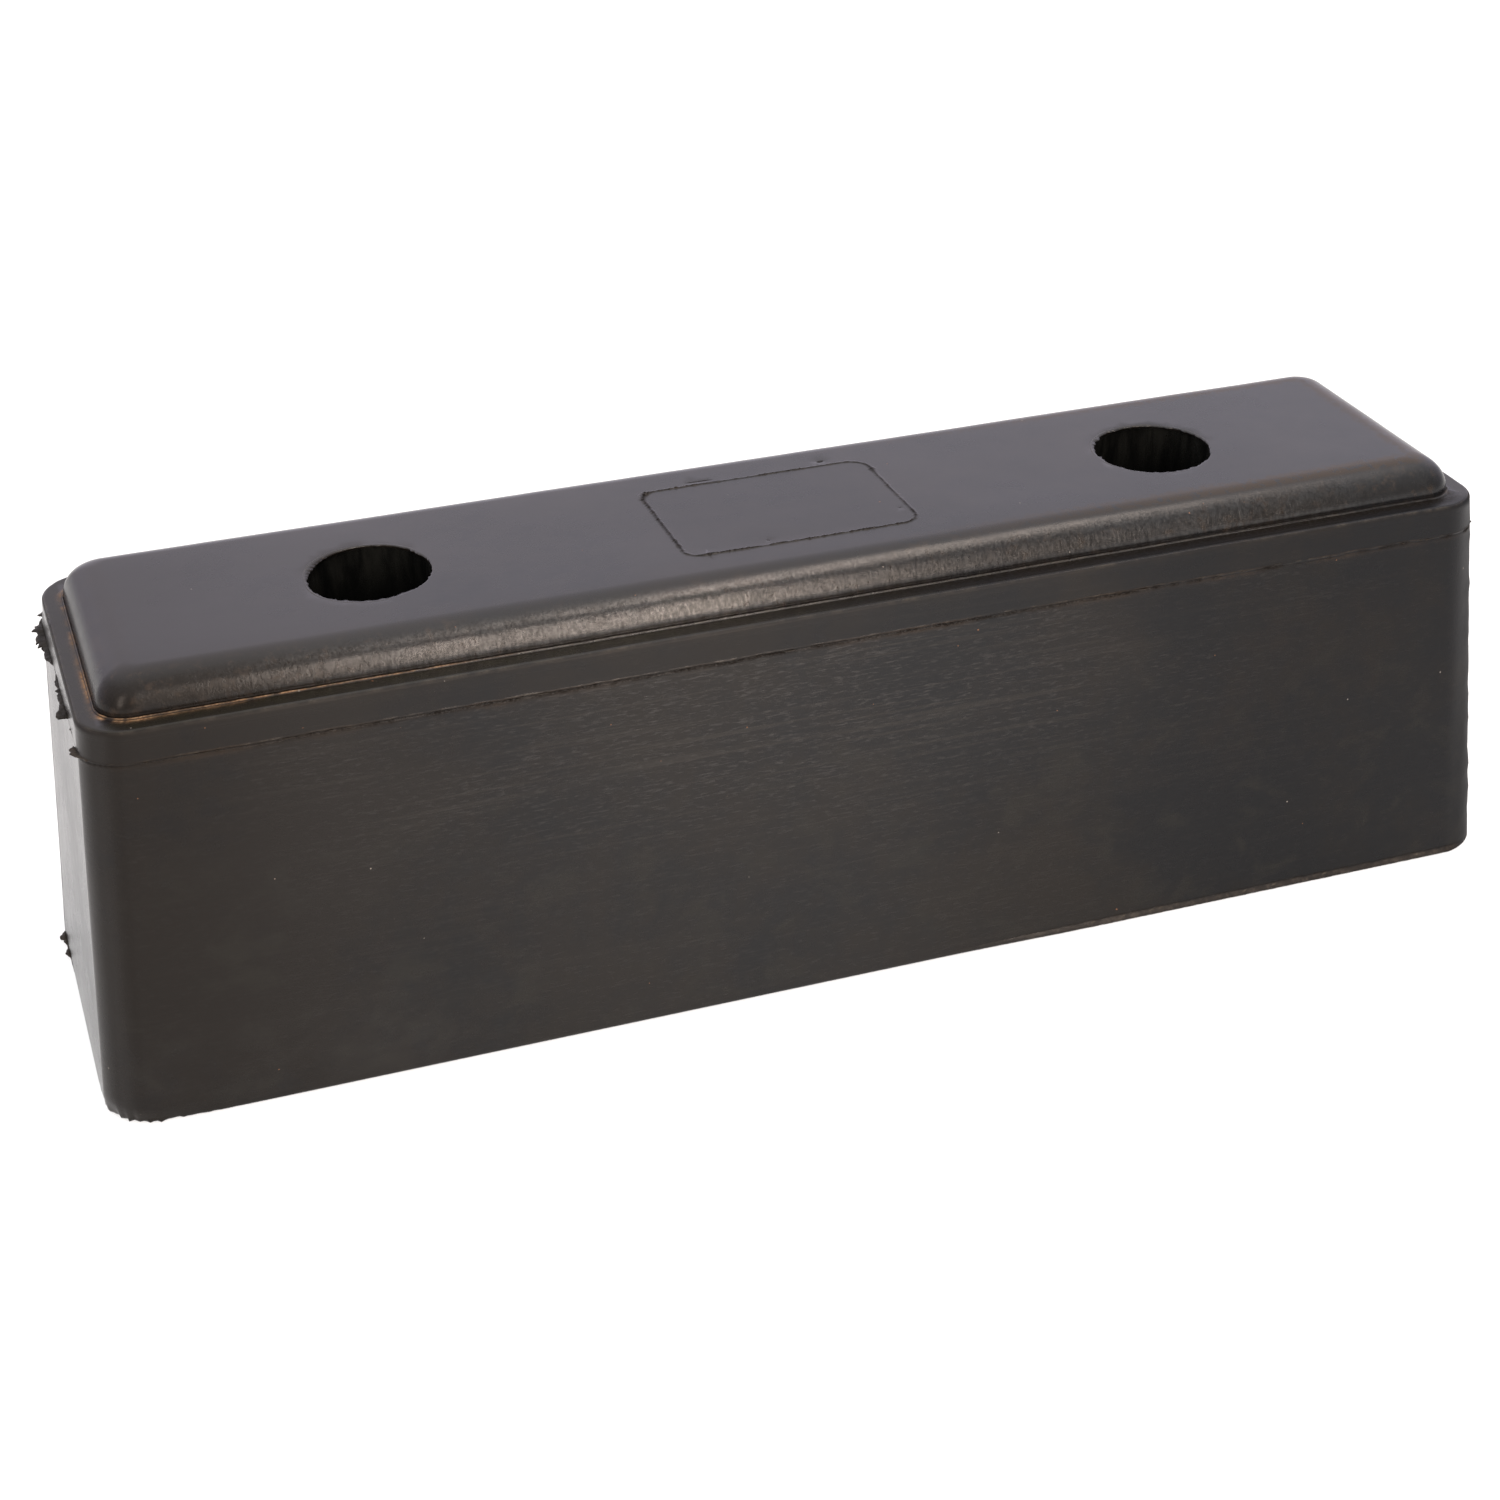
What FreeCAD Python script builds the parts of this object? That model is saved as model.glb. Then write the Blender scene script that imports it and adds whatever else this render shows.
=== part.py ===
import FreeCAD, Part
import os

# Solid rubber impact block with two counterbored fixing holes, moulded round a steel insert.
# Frame: origin at the centre of the mounting face, +X along the block, +Y across it,
# +Z away from the wall or floor that it is bolted to. Millimetres.

# ---- driving dimensions -------------------------------------------------
# tapered block
BASE_LENGTH = 322.4        # along X at the mounting face
BASE_WIDTH = 89.2          # along Y at the mounting face
LEDGE_LENGTH = 309.0       # along X at the ledge
LEDGE_WIDTH = 76.6         # along Y at the ledge
LEDGE_HEIGHT = 87.3        # height of the ledge above the mounting face
BASE_CORNER_R = 10.5       # vertical corners, at the mounting face
LEDGE_CORNER_R = 10.0      # vertical corners, at the ledge
LEDGE_EDGE_R = 1.1         # outer edge of the ledge

# raised cap with a large rounded top edge
CAP_INSET_END = 4.2        # ledge width at the two ends
CAP_INSET_SIDE = 5.15      # ledge width along the two long sides
CAP_HEIGHT = 7.7           # cap top above the ledge
CAP_CORNER_R = 7.6         # vertical corners of the cap
CAP_EDGE_R = 7.2           # rounded top edge of the cap

# fixing holes
HOLE_SPACING = 180.0       # centre to centre, along X
COUNTERBORE_D = 25.9       # takes the head and washer of an M12 bolt, and its socket
BOLT_HOLE_D = 13.5         # M12 clearance hole

# steel insert, vulcanised in
PLATE_LENGTH = 250.0
PLATE_WIDTH = 50.0
PLATE_THICKNESS = 6.0
PLATE_CORNER_R = 8.0
BUSH_D = 22.0              # spacer bush under the plate
BUSH_HEIGHT = 12.0         # underside of the plate above the mounting face

# ---- derived ------------------------------------------------------------
TOTAL_HEIGHT = LEDGE_HEIGHT + CAP_HEIGHT
CAP_LENGTH = LEDGE_LENGTH - 2 * CAP_INSET_END
CAP_WIDTH = LEDGE_WIDTH - 2 * CAP_INSET_SIDE
PLATE_TOP = BUSH_HEIGHT + PLATE_THICKNESS
HOLE_X = HOLE_SPACING / 2

V = FreeCAD.Vector


def rounded_rectangle(length, width, radius, z):
    """Closed wire: four straight sides and four tangent corner arcs, anticlockwise."""
    hx, hy, r = length / 2, width / 2, radius
    c = r * (1 - 0.5 ** 0.5)
    edges = [
        Part.makeLine(V(-hx + r, -hy, z), V(hx - r, -hy, z)),
        Part.Arc(V(hx - r, -hy, z), V(hx - c, -hy + c, z), V(hx, -hy + r, z)).toShape(),
        Part.makeLine(V(hx, -hy + r, z), V(hx, hy - r, z)),
        Part.Arc(V(hx, hy - r, z), V(hx - c, hy - c, z), V(hx - r, hy, z)).toShape(),
        Part.makeLine(V(hx - r, hy, z), V(-hx + r, hy, z)),
        Part.Arc(V(-hx + r, hy, z), V(-hx + c, hy - c, z), V(-hx, hy - r, z)).toShape(),
        Part.makeLine(V(-hx, hy - r, z), V(-hx, -hy + r, z)),
        Part.Arc(V(-hx, -hy + r, z), V(-hx + c, -hy + c, z), V(-hx + r, -hy, z)).toShape(),
    ]
    return Part.Wire(edges)


def prism(length, width, radius, z0, z1):
    face = Part.Face(rounded_rectangle(length, width, radius, z0))
    return face.extrude(V(0, 0, z1 - z0))


def edges_at(shape, z):
    """The edges that lie wholly in the plane at height z."""
    return [e for e in shape.Edges
            if abs(e.BoundBox.ZMin - z) < 1e-4 and abs(e.BoundBox.ZMax - z) < 1e-4]


def cylinder(d, x, z0, z1):
    return Part.makeCylinder(d / 2, z1 - z0, V(x, 0, z0))


# ---- steel insert: a flat bar on two spacer bushes -----------------------
plate = prism(PLATE_LENGTH, PLATE_WIDTH, PLATE_CORNER_R, BUSH_HEIGHT, PLATE_TOP)
bushes = {}
for name, x in (("spacer_bush_left", -HOLE_X), ("spacer_bush_right", HOLE_X)):
    plate = plate.cut(cylinder(BOLT_HOLE_D, x, BUSH_HEIGHT - 1, PLATE_TOP + 1))
    bushes[name] = cylinder(BUSH_D, x, 0, BUSH_HEIGHT).cut(cylinder(BOLT_HOLE_D, x, -1, BUSH_HEIGHT + 1))

# ---- rubber block --------------------------------------------------------
# sides with moulding draft, from the mounting face up to the ledge
block = Part.makeLoft([
    rounded_rectangle(BASE_LENGTH, BASE_WIDTH, BASE_CORNER_R, 0),
    rounded_rectangle(LEDGE_LENGTH, LEDGE_WIDTH, LEDGE_CORNER_R, LEDGE_HEIGHT),
], True, True)
block = block.makeFillet(LEDGE_EDGE_R, edges_at(block, LEDGE_HEIGHT))

cap = prism(CAP_LENGTH, CAP_WIDTH, CAP_CORNER_R, LEDGE_HEIGHT - 5, TOTAL_HEIGHT)
cap = cap.makeFillet(CAP_EDGE_R, edges_at(cap, TOTAL_HEIGHT))

rubber = block.fuse(cap)
# the space that the steel insert fills
envelope = prism(PLATE_LENGTH, PLATE_WIDTH, PLATE_CORNER_R, BUSH_HEIGHT, PLATE_TOP)
rubber = rubber.cut(envelope)
for x in (-HOLE_X, HOLE_X):
    rubber = rubber.cut(cylinder(BUSH_D, x, -1, BUSH_HEIGHT + 0.5))
    rubber = rubber.cut(cylinder(COUNTERBORE_D, x, PLATE_TOP - 0.5, TOTAL_HEIGHT + 1))
rubber = rubber.removeSplitter()

nodes = {"rubber_block": rubber, "insert_plate": plate}
nodes.update(bushes)

os.makedirs("parts", exist_ok=True)
for name, shape in nodes.items():
    if shape.ShapeType != "Solid":
        solids = shape.Solids
        assert len(solids) == 1, (name, len(solids))
        shape = solids[0]
    assert shape.isValid(), name
    shape.exportStep("parts/%s.step" % name)
    b = shape.BoundBox
    print("%-18s volume %.1f cm3  box %.2f..%.2f  %.2f..%.2f  %.2f..%.2f" % (
        name, shape.Volume / 1000, b.XMin, b.XMax, b.YMin, b.YMax, b.ZMin, b.ZMax))
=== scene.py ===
import math

import bmesh
import bpy
import numpy as np
from mathutils import Matrix, Vector
from mathutils.geometry import delaunay_2d_cdt


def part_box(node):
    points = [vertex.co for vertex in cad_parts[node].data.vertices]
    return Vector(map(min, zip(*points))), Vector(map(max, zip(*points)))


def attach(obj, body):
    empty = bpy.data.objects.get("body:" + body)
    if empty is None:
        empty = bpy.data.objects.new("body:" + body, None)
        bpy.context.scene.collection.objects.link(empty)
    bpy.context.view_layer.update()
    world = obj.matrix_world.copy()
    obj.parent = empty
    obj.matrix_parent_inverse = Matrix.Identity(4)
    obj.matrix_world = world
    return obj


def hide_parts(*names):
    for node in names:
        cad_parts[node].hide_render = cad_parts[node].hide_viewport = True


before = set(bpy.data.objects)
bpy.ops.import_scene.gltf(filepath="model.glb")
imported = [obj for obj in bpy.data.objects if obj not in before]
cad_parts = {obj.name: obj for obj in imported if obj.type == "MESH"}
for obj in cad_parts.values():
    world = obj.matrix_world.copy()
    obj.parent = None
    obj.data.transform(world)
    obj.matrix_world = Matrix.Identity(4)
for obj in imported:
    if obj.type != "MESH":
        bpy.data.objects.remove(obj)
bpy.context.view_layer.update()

RUB_LO, RUB_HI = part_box("rubber_block")
PLATE_LO, PLATE_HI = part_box("insert_plate")
BUSH_LO, BUSH_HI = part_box("spacer_bush_left")

# ---------------------------------------------------------------- sizes, in millimetres
MM = 1000.0
BX, BY, TOP = RUB_HI.x * MM, RUB_HI.y * MM, RUB_HI.z * MM      # base half sizes and full height
LX, LY, LZ = 154.5, 38.3, 87.3                                # ledge half sizes and height
BASE_R, LEDGE_R = 10.5, 10.0
EDGE_R = 0.9                                                  # outer edge of the ledge
CAPX, CAPY = LX - 4.2, LY - 5.15                              # wall of the raised top, half sizes
FOOT = 0.45                                                   # small bead at the foot of that wall
CAP_R, CAP_RI = 7.0, 2.6                                      # corner radius at the wall and at the flat
FA = 7.9                                                      # how far in the rounded top edge reaches
ZTOP = TOP - 0.06
CROWN = 0.04
HOLE_X = (BUSH_LO.x + BUSH_HI.x) / 2 * -MM                    # 90, the right hole
BORE_R, SEAT_R = 12.95, (BUSH_HI.x - BUSH_LO.x) / 2 * MM
Z_SEAT, Z_PLATE = PLATE_LO.z * MM, PLATE_HI.z * MM
PART_Z = 80.25                                                # mould parting line
PAD_X, PAD_Y, PAD_CX, PAD_CY = 26.4, 17.85, 0.62, -0.30       # bare rectangle on the top


# ---------------------------------------------------------------- camera
def look():
    c = Vector((-174.911, -504.022, 332.192))
    fwd = (Vector((0, 0, 45)) - c).normalized()
    a, p, r = 0.0123879, -0.0151367, -0.0213905
    fwd = Vector((fwd.x * math.cos(a) - fwd.y * math.sin(a), fwd.x * math.sin(a) + fwd.y * math.cos(a), fwd.z))
    right = fwd.cross(Vector((0, 0, 1))).normalized()
    up = right.cross(fwd)
    fwd, up = fwd * math.cos(p) + up * math.sin(p), up * math.cos(p) - fwd * math.sin(p)
    right, up = right * math.cos(r) + up * math.sin(r), up * math.cos(r) - right * math.sin(r)
    data = bpy.data.cameras.new("camera")
    data.lens, data.sensor_width, data.sensor_fit = 64.2263, 36.0, "AUTO"
    data.clip_start, data.clip_end = 0.01, 50.0
    cam = bpy.data.objects.new("camera", data)
    bpy.context.scene.collection.objects.link(cam)
    m = Matrix.Identity(4)
    for i in range(3):
        m[i][0], m[i][1], m[i][2], m[i][3] = right[i], up[i], -fwd[i], c[i] / MM
    cam.matrix_world = m
    bpy.context.scene.camera = cam


look()


# ---------------------------------------------------------------- seeded noise
def _hash(i, j, k, seed):
    h = (i * 374761393 + j * 668265263 + k * 1274126177 + seed * 974634777) & 0xFFFFFFFF
    h = ((h ^ (h >> 13)) * 1103515245 + 12345) & 0xFFFFFFFF
    h = ((h ^ (h >> 16)) * 2246822519) & 0xFFFFFFFF
    return ((h ^ (h >> 15)) & 0xFFFFFF) / float(0xFFFFFF) * 2 - 1


def vnoise(p, seed=0):
    """Smooth noise from -1 to 1 at points p (N, 3)."""
    p = np.asarray(p, float)
    i = np.floor(p).astype(np.int64)
    f = p - i
    f = f * f * f * (f * (f * 6 - 15) + 10)
    total = np.zeros(len(p))
    for a in (0, 1):
        for b in (0, 1):
            for c in (0, 1):
                w = (f[:, 0] if a else 1 - f[:, 0]) * (f[:, 1] if b else 1 - f[:, 1]) * (f[:, 2] if c else 1 - f[:, 2])
                total += w * _hash(i[:, 0] + a, i[:, 1] + b, i[:, 2] + c, seed)
    return total


def noise1(s, seed=0, octaves=1, loop=None):
    """Noise along a line. With loop it closes on itself after that length."""
    s = np.asarray(s, float)
    total, amp = np.zeros(len(s)), 1.0
    for o in range(octaves):
        q = s * 2 ** o
        if loop:
            n = max(3, round(loop * 2 ** o))
            t = q / (loop * 2 ** o) * 2 * math.pi
            r = n / (2 * math.pi)
            p = np.stack([np.cos(t) * r + 40, np.sin(t) * r + 40, np.zeros_like(q) + 0.5], 1)
        else:
            p = np.stack([q, np.zeros_like(q) + 0.5, np.zeros_like(q) + 0.5], 1)
        total += amp * vnoise(p, seed + 31 * o)
        amp *= 0.5
    return total


def smooth(a, b, x):
    t = np.clip((np.asarray(x, float) - a) / (b - a), 0, 1)
    return t * t * (3 - 2 * t)


def bell(x, mid, half):
    return np.exp(-((np.asarray(x, float) - mid) / half) ** 2)


# ---------------------------------------------------------------- shapes in plan
def inside(poly, x, y):
    """True where (x, y) lies within the closed outline."""
    x, y = np.asarray(x, float), np.asarray(y, float)
    hit = np.zeros(x.shape, bool)
    p, q = poly, np.roll(poly, -1, 0)
    for (ax, ay), (cx_, cy_) in zip(p, q):
        if ay == cy_:
            continue
        over = ((ay > y) != (cy_ > y)) & (x < (cx_ - ax) * (y - ay) / (cy_ - ay) + ax)
        hit ^= over
    return hit


def rounded(hx, hy, radii, nx, ny, nc, kink=0.0):
    """Points and outward normals of a rounded rectangle, counter-clockwise from its front left.

    With kink (degrees) the corner arcs meet the two short sides at that angle, as a worn mould leaves them.
    """
    r = [radii] * 4 if np.isscalar(radii) else list(radii)       # front-left, front-right, back-right, back-left
    pts, nor = [], []
    if kink > 0:
        rad, span = r[0] / math.cos(math.radians(kink)), 90.0 - kink
        depth = rad * (1 - math.cos(math.radians(span)))

        def run(p, q, n, normal):
            for i in range(n):
                pts.append((p[0] + (q[0] - p[0]) * i / n, p[1] + (q[1] - p[1]) * i / n))
                nor.append(normal)

        def arc(cx, cy, start):
            for i in range(nc):
                a = math.radians(start + span * i / nc)
                pts.append((cx + rad * math.cos(a), cy + rad * math.sin(a)))
                nor.append((math.cos(a), math.sin(a)))

        run((-hx + r[0], -hy), (hx - r[0], -hy), nx, (0, -1))
        arc(hx - r[0], -hy + rad, -90)
        run((hx, -hy + depth), (hx, hy - depth), ny, (1, 0))
        arc(hx - r[0], hy - rad, 90 - span)
        run((hx - r[0], hy), (-hx + r[0], hy), nx, (0, 1))
        arc(-hx + r[0], hy - rad, 90)
        run((-hx, hy - depth), (-hx, -hy + depth), ny, (-1, 0))
        arc(-hx + r[0], -hy + rad, 270 - span)
        return np.array(pts), np.array(nor)

    def straight(p, q, n, normal):
        for i in range(n):
            t = i / n
            pts.append((p[0] + (q[0] - p[0]) * t, p[1] + (q[1] - p[1]) * t))
            nor.append(normal)

    def corner(cx, cy, rad, start):
        for i in range(nc):
            a = math.radians(start + 90 * i / nc)
            pts.append((cx + rad * math.cos(a), cy + rad * math.sin(a)))
            nor.append((math.cos(a), math.sin(a)))

    straight((-hx + r[0], -hy), (hx - r[1], -hy), nx, (0, -1))
    corner(hx - r[1], -hy + r[1], r[1], -90)
    straight((hx, -hy + r[1]), (hx, hy - r[2]), ny, (1, 0))
    corner(hx - r[2], hy - r[2], r[2], 0)
    straight((hx - r[2], hy), (-hx + r[3], hy), nx, (0, 1))
    corner(-hx + r[3], hy - r[3], r[3], 90)
    straight((-hx, hy - r[3]), (-hx, -hy + r[0]), ny, (-1, 0))
    corner(-hx + r[0], -hy + r[0], r[0], 180)
    return np.array(pts), np.array(nor)


def circle(cx, cy, r, n):
    a = np.arange(n) / n * 2 * math.pi
    return np.stack([cx + r * np.cos(a), cy + r * np.sin(a)], 1)


def side(z):
    t = z / LZ
    return BX + (LX - BX) * t, BY + (LY - BY) * t, BASE_R + (LEDGE_R - BASE_R) * t


def crown(u):
    return CROWN * (1 - smooth(FA - 4.0, FA + 5.0, u))


def top_z(x, y):
    return ZTOP - crown(np.minimum(CAPX - np.abs(x), CAPY - np.abs(y)))


class Build:
    """Collects vertices in millimetres, faces and per-vertex marks."""

    def __init__(self):
        self.co, self.marks, self.faces, self.n = [], [], [], 0

    def add(self, pts, marks=None):
        pts = np.asarray(pts, float).reshape(-1, 3)
        m = np.zeros((len(pts), 4)) if marks is None else np.asarray(marks, float).reshape(-1, 4)
        first = self.n
        self.co.append(pts)
        self.marks.append(m)
        self.n += len(pts)
        return np.arange(first, self.n)

    def band(self, low, high, closed=True):
        """Quads between two rows of the same length, facing outward when the rows run counter-clockwise."""
        a, b = list(low), list(high)
        n = len(a)
        for i in range(n if closed else n - 1):
            j = (i + 1) % n
            self.faces.append((int(a[i]), int(a[j]), int(b[j]), int(b[i])))

    def fill(self, pts, ids, loops, opens, keep, up):
        """Triangles over 2-D points, kept where keep(x, y) is true."""
        edges = [(l[i], l[(i + 1) % len(l)]) for l in loops for i in range(len(l))]
        edges += [(l[i], l[i + 1]) for l in opens for i in range(len(l) - 1)]
        out = delaunay_2d_cdt([Vector((float(p[0]), float(p[1]))) for p in pts], edges, [], 0, 1e-6)
        made = [o[0] if o else None for o in out[3]]
        xy = [v for v in out[0]]
        tris = []
        for f in out[2]:
            if any(made[i] is None for i in f):
                continue
            cx, cy = sum(xy[i].x for i in f) / len(f), sum(xy[i].y for i in f) / len(f)
            tris.append((f, cx, cy))
        c = np.array([[t[1], t[2]] for t in tris])
        ok = keep(c[:, 0], c[:, 1])
        for (f, _, _), good in zip(tris, ok):
            if not good:
                continue
            a, b, d = (xy[i] for i in f)
            turn = (b.x - a.x) * (d.y - a.y) - (b.y - a.y) * (d.x - a.x)
            if abs(turn) < 2e-5:
                continue
            if (turn > 0) != up:
                f = f[::-1]
            self.faces.append(tuple(int(ids[made[i]]) for i in f))

    def object(self, name, material, shape=None):
        co = np.concatenate(self.co)
        if shape is not None:
            co = shape(co)
        mesh = bpy.data.meshes.new(name)
        mesh.from_pydata((co / MM).tolist(), [], self.faces)
        mesh.validate()
        attribute = mesh.attributes.new("marks", "FLOAT_COLOR", "POINT")
        attribute.data.foreach_set("color", np.concatenate(self.marks).astype(np.float32).ravel())
        bm = bmesh.new()
        bm.from_mesh(mesh)
        bmesh.ops.delete(bm, geom=[v for v in bm.verts if not v.link_faces], context="VERTS")
        bm.to_mesh(mesh)
        bm.free()
        mesh.shade_smooth()
        for m in material if isinstance(material, (list, tuple)) else [material]:
            mesh.materials.append(m)
        if len(mesh.materials) > 1:                               # the second finish is for everything below the ledge
            mid = np.array([p.center for p in mesh.polygons]) * MM
            low = (mid[:, 2] < LZ - 0.2) & ((np.hypot(np.abs(mid[:, 0]) - HOLE_X, mid[:, 1]) > BORE_R + 0.6) | (mid[:, 2] < 0.01))
            mesh.polygons.foreach_set("material_index", low.astype(np.int32))
        o = bpy.data.objects.new(name, mesh)
        bpy.context.scene.collection.objects.link(o)
        return o


# ---------------------------------------------------------------- materials
class Nodes:
    def __init__(self, name):
        self.mat = bpy.data.materials.new(name)
        self.mat.use_nodes = True
        self.tree = self.mat.node_tree
        self.tree.nodes.clear()
        self.out = self.tree.nodes.new("ShaderNodeOutputMaterial")
        self.bsdf = self.tree.nodes.new("ShaderNodeBsdfPrincipled")
        self.link(self.bsdf.outputs[0], self.out.inputs[0])

    def link(self, a, b):
        self.tree.links.new(a, b)

    def new(self, kind, **props):
        n = self.tree.nodes.new(kind)
        for k, v in props.items():
            setattr(n, k, v)
        return n

    def put(self, socket, value):
        if isinstance(value, bpy.types.NodeSocket):
            self.link(value, socket)
        else:
            socket.default_value = value

    def math(self, op, a, b=None, c=None, clamp=False):
        n = self.new("ShaderNodeMath", operation=op, use_clamp=clamp)
        for s, v in zip(n.inputs, (a, b, c)):
            if v is not None:
                self.put(s, v)
        return n.outputs[0]

    def coords(self, scale=(1, 1, 1), offset=(0, 0, 0)):
        """Object coordinates in millimetres, times scale."""
        if not hasattr(self, "tc"):
            self.tc = self.new("ShaderNodeTexCoord")
        m = self.new("ShaderNodeMapping")
        self.link(self.tc.outputs["Object"], m.inputs[0])
        m.inputs["Scale"].default_value = tuple(s * MM for s in scale)
        m.inputs["Location"].default_value = offset
        return m.outputs[0]

    def noise(self, scale, detail=2.0, rough=0.5, offset=(0, 0, 0), distortion=0.0):
        n = self.new("ShaderNodeTexNoise")
        self.link(self.coords(scale if hasattr(scale, "__len__") else (scale,) * 3, offset), n.inputs["Vector"])
        n.inputs["Scale"].default_value = 1.0
        n.inputs["Detail"].default_value = detail
        n.inputs["Roughness"].default_value = rough
        n.inputs["Distortion"].default_value = distortion
        return n.outputs["Fac"]

    def ramp(self, x, lo, hi, a=0.0, b=1.0):
        n = self.new("ShaderNodeMapRange", interpolation_type="SMOOTHSTEP")
        self.put(n.inputs["Value"], x)
        n.inputs["From Min"].default_value, n.inputs["From Max"].default_value = lo, hi
        n.inputs["To Min"].default_value, n.inputs["To Max"].default_value = a, b
        return n.outputs[0]

    def mix(self, fac, a, b, mode="MIX"):
        n = self.new("ShaderNodeMix", data_type="RGBA", blend_type=mode)
        self.put(n.inputs[0], fac)
        for s, v in ((n.inputs[6], a), (n.inputs[7], b)):
            self.put(s, v if isinstance(v, bpy.types.NodeSocket) else (*v, 1.0))
        return n.outputs[2]

    def bump(self, height, distance, strength=1.0, normal=None):
        n = self.new("ShaderNodeBump")
        n.inputs["Strength"].default_value = strength
        n.inputs["Distance"].default_value = distance
        self.put(n.inputs["Height"], height)
        if normal is not None:
            self.link(normal, n.inputs["Normal"])
        return n.outputs[0]


def rubber_material(name, flash=False, lower=False):
    n = Nodes(name)
    mark = n.new("ShaderNodeAttribute", attribute_name="marks", attribute_type="GEOMETRY")
    sep = n.new("ShaderNodeSeparateColor")
    n.link(mark.outputs["Color"], sep.inputs[0])
    line, residue, pale = sep.outputs[0], sep.outputs[1], sep.outputs[2]
    trim = mark.outputs["Alpha"]

    geo = n.new("ShaderNodeTexCoord")
    nsep = n.new("ShaderNodeSeparateXYZ")
    n.link(geo.outputs["Normal"], nsep.inputs[0])
    upface = n.ramp(nsep.outputs["Z"], 0.75, 0.97)
    endface = n.ramp(n.math("ABSOLUTE", nsep.outputs["X"]), 0.975, 0.995)
    sideface = n.ramp(n.math("ABSOLUTE", nsep.outputs["Y"]), 0.6, 0.95)

    # colour: brown and blue-grey clouds, small mottling
    big = n.noise(0.021, 4.0, 0.55, (3.1, 7.7, 1.3))
    small = n.noise(0.19, 3.0, 0.6, (11.0, 2.0, 5.0))
    tint = n.math("ADD", n.math("MULTIPLY", big, 0.7), n.math("MULTIPLY", small, 0.3))
    place = n.new("ShaderNodeSeparateXYZ")
    n.link(n.coords((1 / 160.0, 1 / 45.0, 1 / 95.0)), place.inputs[0])
    tint = n.math("ADD", tint, n.math("MULTIPLY", place.outputs["X"], 0.14))
    tint = n.ramp(tint, 0.34, 0.66)
    side_col = n.mix(tint, (0.0084, 0.0064, 0.0048), (0.0035, 0.0036, 0.0044))
    # the upward faces take a bluer, lighter copy of the colour: a painted reflection of the pale sky
    top_col_sky_tint = n.mix(tint, (0.0085, 0.0066, 0.0060), (0.0040, 0.0042, 0.0056))
    col = n.mix(upface, side_col, top_col_sky_tint)
    across = n.math("ABSOLUTE", place.outputs["X"])
    bore = n.new("ShaderNodeVectorMath", operation="LENGTH")
    axis = n.new("ShaderNodeCombineXYZ")
    n.link(n.math("SUBTRACT", n.math("MULTIPLY", across, 160.0), HOLE_X), axis.inputs[0])
    n.link(n.math("MULTIPLY", place.outputs["Y"], 45.0), axis.inputs[1])
    n.link(axis.outputs[0], bore.inputs[0])
    inside = n.math("MULTIPLY", n.ramp(bore.outputs["Value"], 14.9, 15.2, 1.0, 0.0), n.ramp(place.outputs["Z"], 0.991, 0.997, 1.0, 0.0))

    # pale scuffs and drawn lines along the long sides, thickest a little left of the middle: real streaks, painted
    # paler where the light catches them, so partly painted highlight
    scuff_and_highlight = n.noise((0.40, 2.5, 2.5), 3.0, 0.60, (2, 5, 3), 0.4)
    drawn_and_highlight = n.noise((0.014, 1.1, 1.1), 2.0, 0.55, (8, 1, 4))
    patch = n.noise((0.035, 0.05, 0.06), 2.0, 0.5, (4, 4, 9))
    reach = n.ramp(n.math("ADD", n.math("ABSOLUTE", n.math("ADD", place.outputs["X"], 0.06)), n.math("MULTIPLY", n.math("SUBTRACT", patch, 0.5), 1.1)), 0.02, 0.85, 1.0, 0.0)
    upper = n.ramp(n.math("ADD", place.outputs["Z"], n.math("MULTIPLY", n.math("SUBTRACT", patch, 0.5), 0.5)), 0.30, 0.66)
    where = n.math("MULTIPLY", n.math("MULTIPLY", reach, n.math("MULTIPLY_ADD", upper, 0.8, 0.2)), sideface)
    under = n.ramp(place.outputs["Z"], 0.836, 0.850, 1.0, 0.0)
    where = n.math("MULTIPLY", where, n.math("MULTIPLY_ADD", under, 0.85, 0.15))
    if lower:
        fac = n.math("MULTIPLY", n.ramp(scuff_and_highlight, 0.50, 0.74), n.math("MULTIPLY_ADD", where, 0.85, n.math("MULTIPLY", under, 0.10)), clamp=True)
        col = n.mix(fac, col, (0.031, 0.029, 0.028))
        fac = n.math("MULTIPLY", n.ramp(drawn_and_highlight, 0.52, 0.70), n.math("MULTIPLY_ADD", where, 0.45, 0.05), clamp=True)
        col = n.mix(n.math("MULTIPLY", fac, sideface), col, (0.022, 0.019, 0.016))
        cloud = n.noise((0.075, 0.09, 0.11), 4.0, 0.62, (6, 2, 8), 0.6)
        fac = n.math("MULTIPLY", n.ramp(cloud, 0.50, 0.70, 0.0, 0.42), n.ramp(place.outputs["Z"], 0.35, 0.75, 1.0, 0.25))
        col = n.mix(n.math("MULTIPLY", fac, sideface), col, (0.0135, 0.0122, 0.0092))

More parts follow.
